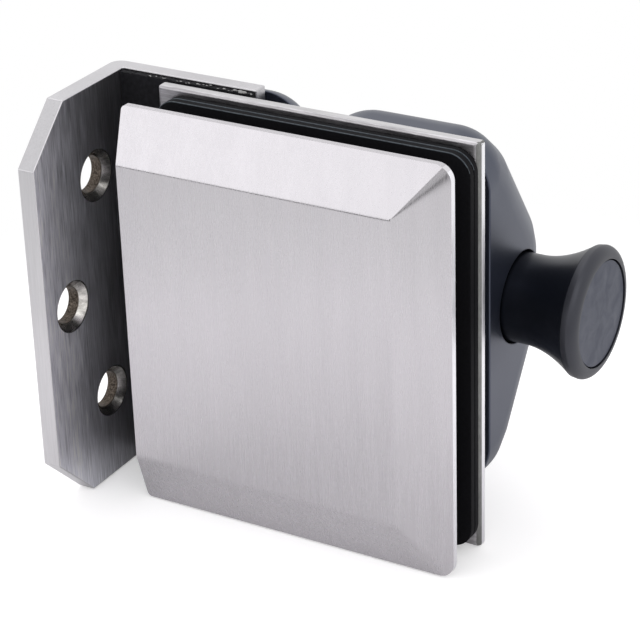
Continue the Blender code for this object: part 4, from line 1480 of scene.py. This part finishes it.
@dataclass
class LatchBody:
    """The housing behind the back plate, which takes the pin and carries the knob."""

    dome: Dome = field(default_factory=lambda: Dome("body_dome", 56.0, 99.2, 15.4,
                                                    core=((19.6, 31.1), (22.6, 28.6), (35.2, 10.6), (36.3,
                                                                                                     7.5))))
    recess: float = 10.8
    recess_floor: float = 93.0
    lip: float = 0.4
    base_start: float = 13.55
    base_thick: float = 4.6

    def recess_tool(self) -> Obj:
        """Cutter for the knob's recess, with a rounded lip that follows the housing's side."""
        bm = bmesh.new()
        steps, round_steps = 128, 5
        columns = []
        for step in range(steps):
            angle = 2 * math.pi * step / steps
            spread = Vector((0, math.cos(angle), math.sin(angle)))
            places = [(self.recess_floor, self.recess)]
            for part in range(round_steps + 1):
                turn = math.pi / 2 * part / round_steps
                radius = self.recess + self.lip * (1 - math.cos(turn))
                spot = Vector(LINE) + spread * radius
                face = self.dome.face_x(spot.y, spot.z)
                places.append((face - self.lip * (1 - math.sin(turn)), radius))
            places.append((self.dome.end + OVERCUT, self.recess + self.lip))
            columns.append([bm.verts.new(Vector((x, LINE_Y, LINE_Z)) + spread * radius)
                            for x, radius in places])
        rows = len(columns[0])
        for step in range(steps):
            one, two = columns[step], columns[(step + 1) % steps]
            for row in range(rows - 1):
                bm.faces.new((one[row], one[row + 1], two[row + 1], two[row]))
        bm.faces.new([column[0] for column in columns])
        bm.faces.new([column[-1] for column in columns])
        return write_mesh("cut_recess", bm)

    def build(self) -> None:
        """Mould the housing, close it, and set its bush and screws."""
        start, end = self.dome.start, self.dome.end
        fills = [line_rod("add_socket", start + 1.2, 64.2, 7.1),
                 line_rod("add_recess", 91.0, end - 1.2, 13.0),
                 half_sleeve(start + 1.2, 92.0, 12.4, 14.2)]
        fills += self.dome.bosses(HOUSING_X, 18.4)
        housing = self.dome.shell(fills)
        tools = [line_rod("cut_socket", start - OVERCUT, 62.6, 4.9), self.recess_tool(),
                 line_rod("cut_web", 91.0 - OVERCUT, self.recess_floor + OVERCUT, 6.75)]
        combine(housing, Join.CUT, tools + self.dome.pilots(HOUSING_X, self.base_start, 23.7))
        settle(housing, 35.0)
        ship(housing, HOUSING_NYLON, Body.LATCH, ["latch_housing"])
        self.dome.base("housing_base", SEAT, self.base_start, self.base_thick, HOUSING_X)
        line_ring("shaft_sleeve", [(89.55, 4.3), (89.55, 8.35), (89.7, 8.5), (90.75, 8.5), (90.75, 6.5),
                                   (93.0, 6.5), (93.0, 4.3)], BUSH_NYLON, Body.LATCH, "shaft_bush")
        for word, side in SIDES:
            Screw(f"housing_screw_{word}", (HOUSING_X, PLATE_FRONT, LINE_Z + side * SCREW_REACH),
                  3.7, 2.0, 13.0, True).build()


@dataclass
class Keeper:
    """The housing behind the bracket, which carries the pin."""

    dome: Dome = field(default_factory=lambda: Dome("keeper_dome", 7.6, 50.8, 22.4))
    base_start: float = 20.55
    base_thick: float = 1.9
    guide: float = 44.1

    def build(self) -> None:
        """Mould the keeper, close it, and set its bush and screws."""
        start, end = self.dome.start, self.dome.end
        rib = write_mesh("add_rib", prism([(39.6, 4.0), (60.0, 4.0), (60.0, 6.0), (39.6, 6.0)], 23.1,
                                          self.guide, Axis.X))
        fills = [line_rod("add_guide", self.guide, end - 1.2, 8.5), half_sleeve(21.1, 45.5, 7.4, 9.2), rib]
        fills += self.dome.bosses(KEEPER_X, 22.7)
        keeper = self.dome.shell(fills)
        tools = [line_rod("cut_guide", self.guide - OVERCUT, end + OVERCUT, 7.05)]
        combine(keeper, Join.CUT, tools + self.dome.pilots(KEEPER_X, self.base_start, 27.3))
        settle(keeper, 35.0)
        ship(keeper, HOUSING_NYLON, Body.LATCH, ["keeper_housing"])
        self.dome.base("keeper_base", 0.8, self.base_start, self.base_thick, KEEPER_X)
        line_ring("pin_sleeve", [(44.1, 4.8), (44.1, 6.8), (51.05, 6.8), (51.05, 8.6), (52.0, 8.6),
                                 (52.25, 8.35), (52.25, 5.05), (52.0, 4.8)], BUSH_NYLON, Body.LATCH,
                                 "pin_bush")
        for word, side in SIDES:
            Screw(f"keeper_screw_{word}", (KEEPER_X, LEG_FRONT, LINE_Z + side * SCREW_REACH),
                  3.7, 2.0, 10.6, True).build()


@dataclass
class PinGroup:
    """The sliding pin with its collar and spring."""

    start: float = 32.1
    end: float = 61.8
    radius: float = 4.5
    spring_start: float = 34.35
    spring_end: float = 43.85

    def build(self) -> None:
        """Turn the pin and collar, and wind the spring between keeper and pin."""
        line_ring("round_pin", [(self.start, 4.3), (self.start + 0.2, 4.5), (self.end - 0.8, 4.5),
                                (self.end - 0.1, 3.8), (self.end, 3.6)], PIN_STEEL, Body.PIN, "latch_pin",
                                False)
        line_ring("collar_ring", [(32.1, 4.75), (32.1, 6.8), (32.3, 7.0), (33.9, 7.0), (34.1, 6.8), (34.1,
                                                                                                     4.75)],
                  PIN_STEEL, Body.PIN, "pin_collar")
        values = {"Start": self.spring_start, "End": self.spring_end, "Radius": 5.6, "Turns": 6.0,
                  "Y": LINE_Y, "Z": LINE_Z}
        spring = grow("pin_coil", coil_rule, values, SCREW_FINISH)
        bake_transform(spring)
        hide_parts("pin_spring")
        log.info("%s: %d faces, between latch and pin", spring.name, len(spring.data.polygons))


@dataclass
class KnobGroup:
    """The flared pull knob with its disc, screw, shaft, magnet carriage and return spring."""

    start: float = 93.6
    face: float = 119.1
    rim_start: float = 115.7
    disc: float = 12.45
    seat: float = 117.3
    spring_start: float = 75.25
    spring_end: float = 89.3
    spring_keep: float = 0.352

    def build_knob(self) -> None:
        """Grow the outside by its rule, then turn out the inside."""
        values = {"Start": self.start, "Waist": 102.6, "Rim Start": self.rim_start, "Face": self.face}
        knob = grow("flared_knob", flare_rule, values, KNOB_NYLON)
        knob.data.transform(Matrix.Translation(Vector(LINE) * MM))
        inside = [(self.start - OVERCUT, 4.25), (112.25, 4.25), (112.25, 2.3), (113.85, 2.3), (113.85, 4.1),
                  (self.seat, 4.1), (self.seat, self.disc), (self.face + OVERCUT, self.disc)]
        combine(knob, Join.CUT, [turned("cut_inside", inside, Axis.X, LINE, 128)])
        rim = self.rim_start * MM
        dress(knob, (KNOB_NYLON, RIM_NYLON), lambda face: int(face.center.x > rim and face.normal.x > -0.5))
        settle(knob, 30.0)
        ship(knob, KNOB_NYLON, Body.KNOB, ["pull_knob"])

    def build(self) -> None:
        """Build the knob and everything that slides with it."""
        self.build_knob()
        line_ring("end_disc", [(117.55, 12.0), (117.75, 12.2), (118.6, 12.2), (118.8, 12.1), (118.85, 11.95)],
                  DISC_NYLON, Body.KNOB, "knob_disc", False, 128)
        line_ring("cap_screw", [(103.1, 1.6), (103.5, 2.0), (114.1, 2.0), (114.1, 3.7), (114.2, 3.8),
                                (116.2, 3.8), (116.4, 3.6)], SCREW_FINISH, Body.KNOB, "knob_screw", False)
        line_ring("steel_shaft", [(71.45, 3.8), (71.65, 4.0), (112.0, 4.0), (112.0, 2.3), (102.5, 2.3)],
                  PIN_STEEL, Body.KNOB, "pull_shaft", False)
        line_ring("carriage_moulding", [(64.8, 9.75), (64.8, 11.8), (65.0, 12.0), (74.8, 12.0), (75.0, 11.8),
                                        (75.0, 4.25), (71.2, 4.25), (71.2, 9.75)], HOUSING_NYLON, Body.KNOB,
                  "magnet_carriage")
        line_ring("magnet_button", [(65.05, 9.2), (65.35, 9.5), (70.65, 9.5), (70.95, 9.2)], PLATING,
                  Body.KNOB,
                  "latch_magnet", False)
        values = {"Start": self.spring_start, "End": self.spring_end, "Radius": 6.4, "Turns": 3.0,
                  "Y": LINE_Y, "Z": LINE_Z}
        spring = grow("return_coil", coil_rule, values, SCREW_FINISH)
        ship(spring, SCREW_FINISH, Body.LATCH, ["return_spring"])
        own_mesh(spring)


def rays(tree: Tree) -> tuple[Value, Value]:
    """Whether a ray comes from the camera, straight or through glass, and whether it is a reflection."""
    path = put(tree, "ShaderNodeLightPath")
    straight = Value(tree, path.outputs["Is Camera Ray"])
    return straight.at_least(path.outputs["Is Transmission Ray"]), Value(tree, path.outputs["Is Glossy Ray"])


@dataclass
class Studio:
    """Camera, floor, backdrop and lamps."""

    place: Place = (0.311843, -0.415699, 0.243384)
    lens: float = 136.518
    right: Place = (0.86663206, 0.49806434, -0.02967795)
    up: Place = (-0.19703976, 0.39628267, 0.89673596)
    back: Place = (0.45839306, -0.7712924, 0.44156975)
    bright_way: Place = (-0.458, -0.889, 0.0)
    glow: float = 0.6
    low: float = 0.6
    high: float = 1.0
    gap_height: float = -0.225
    gap_core: float = 0.02
    gap_edge: float = 0.12
    gap_dark: float = 0.92
    floor_tone: float = 0.82
    floor_lift: float = 0.38
    floor_shine: float = 0.2
    shine_near: float = 0.055
    floor_middle: Place = (0.06, 0.0, -0.0504)
    floor_near: float = 0.13
    floor_far: float = 0.20

    def camera(self) -> None:
        """Set the camera that the picture was taken with."""
        data = bpy.data.cameras.new("camera")
        data.sensor_width = 36.0
        data.lens = self.lens
        data.clip_start = 0.01
        data.clip_end = 50.0
        shown = bpy.data.objects.new("camera", data)
        turn = Matrix((self.right, self.up, self.back)).transposed().to_4x4()
        shown.matrix_world = Matrix.Translation(self.place) @ turn
        bpy.context.scene.collection.objects.link(shown)
        bpy.context.scene.camera = shown

    def backdrop(self) -> None:
        """White sky for the camera, with a soft gradient as its light."""
        world = bpy.data.worlds.new("studio")
        bpy.context.scene.world = world
        world.use_nodes = True
        tree = world.node_tree
        way = put(tree, "ShaderNodeTexCoord").outputs["Generated"]
        _, front, height = split(tree, way)
        glow = ramp(tree, vector(tree, "DOT_PRODUCT", {0: way, 1: self.bright_way}, "Value"), 0.75, 1.0, 0.0,
                    self.glow, True)
        light = tree.nodes["Background"]
        feed(tree, light, {"Color": (1.0, 0.985, 1.0, 1.0),
                           "Strength": ramp(tree, height, -0.1, 0.3, self.low, self.high, True) + glow})
        seen, glossy = rays(tree)
        gap = ramp(tree, (height - self.gap_height).of("ABSOLUTE"), self.gap_core, self.gap_edge,
                   self.gap_dark,
                   0.0, True)
        shade = gap * ramp(tree, front, -0.7, -0.3, 1.0, 0.0) * glossy
        white = put(tree, "ShaderNodeBackground", {"Color": (1.0, 1.0, 1.0, 1.0),
                                                   "Strength": shade * -1.0 + 1.0})
        pick = out(tree, "ShaderNodeMixShader", {0: seen.at_least(glossy), 1: light.outputs[0],
                                                 2: white.outputs[0]})
        feed(tree, tree.nodes["World Output"], {0: pick})

    def floor(self) -> None:
        """A round pale floor just under the latch, which fades out into the white round it."""
        bm = bmesh.new()
        bmesh.ops.create_grid(bm, x_segments=2, y_segments=2, size=self.floor_far / MM,
                              matrix=Matrix.Translation(Vector(self.floor_middle) / MM))
        ground = write_mesh("studio_floor", bm)
        made = bpy.data.materials.new("studio_floor")
        made.use_nodes = True
        tree = made.node_tree
        shader = tree.nodes["Principled BSDF"]
        seen, glossy = rays(tree)
        away = vector(tree, "DISTANCE", {0: object_place(tree), 1: self.floor_middle}, "Value")
        # Glow seen only in reflections: none near the latch, up to floor_shine farther out; painted shade round the
        # latch and painted light beyond it, in what the metal reflects.
        shine = ramp(tree, away, self.shine_near, self.floor_near, 0.0, self.floor_shine)
        feed(tree, shader, {"Base Color": (self.floor_tone,) * 3 + (1.0,), "Emission Color": (1.0, 1.0, 1.0,
                                                                                              1.0),
                            "Emission Strength": glossy * shine + seen * self.floor_lift, "Roughness": 0.9,
                            "Specular IOR Level": 0.1})
        clear = put(tree, "ShaderNodeBsdfTransparent")
        mixed = out(tree, "ShaderNodeMixShader", {0: ramp(tree, away, self.floor_near, self.floor_far,
                                                          smooth=True),
                                                  1: shader.outputs[0], 2: clear.outputs[0]})
        feed(tree, tree.nodes["Material Output"], {0: mixed})
        ground.data.materials.append(made)

    def lamp(self, name: str, place: Place, aim: Place, size: float, power: float) -> None:
        """Add one square soft lamp.

        Args:
            name: its name.
            place: where it stands, in metres.
            aim: the point that it faces.
            size: length of its side.
            power: its power in watts.
        """
        data = bpy.data.lights.new(name, "AREA")
        data.size = size
        data.energy = power
        shown = bpy.data.objects.new(name, data)
        shown.location = place
        toward = Vector(aim) - Vector(place)
        shown.rotation_euler = toward.to_track_quat("-Z", "Y").to_euler()
        bpy.context.scene.collection.objects.link(shown)

    def build(self) -> None:
        """Set up the whole studio."""
        bpy.context.scene.view_settings.view_transform = "Standard"
        self.camera()
        self.backdrop()
        self.floor()
        self.lamp("key", (0.9, -0.7, 1.1), (0.06, 0.0, 0.0), 0.7, 2.0)
        self.lamp("top", (-0.4, 0.3, 1.3), (0.06, 0.0, 0.0), 0.8, 2.0)
        self.lamp("front", (-0.62, -0.98, 0.12), (0.06, 0.0, 0.0), 0.6, 0.72)


def main() -> None:
    """Build every sub-assembly in order, then the studio."""
    logging.basicConfig(level=logging.INFO, format="%(name)s: %(message)s")
    WallBracket().build()
    StopPad().build()
    ClampStack().build()
    LatchBody().build()
    Keeper().build()
    PinGroup().build()
    KnobGroup().build()
    Studio().build()


if __name__ == "__main__":
    main()
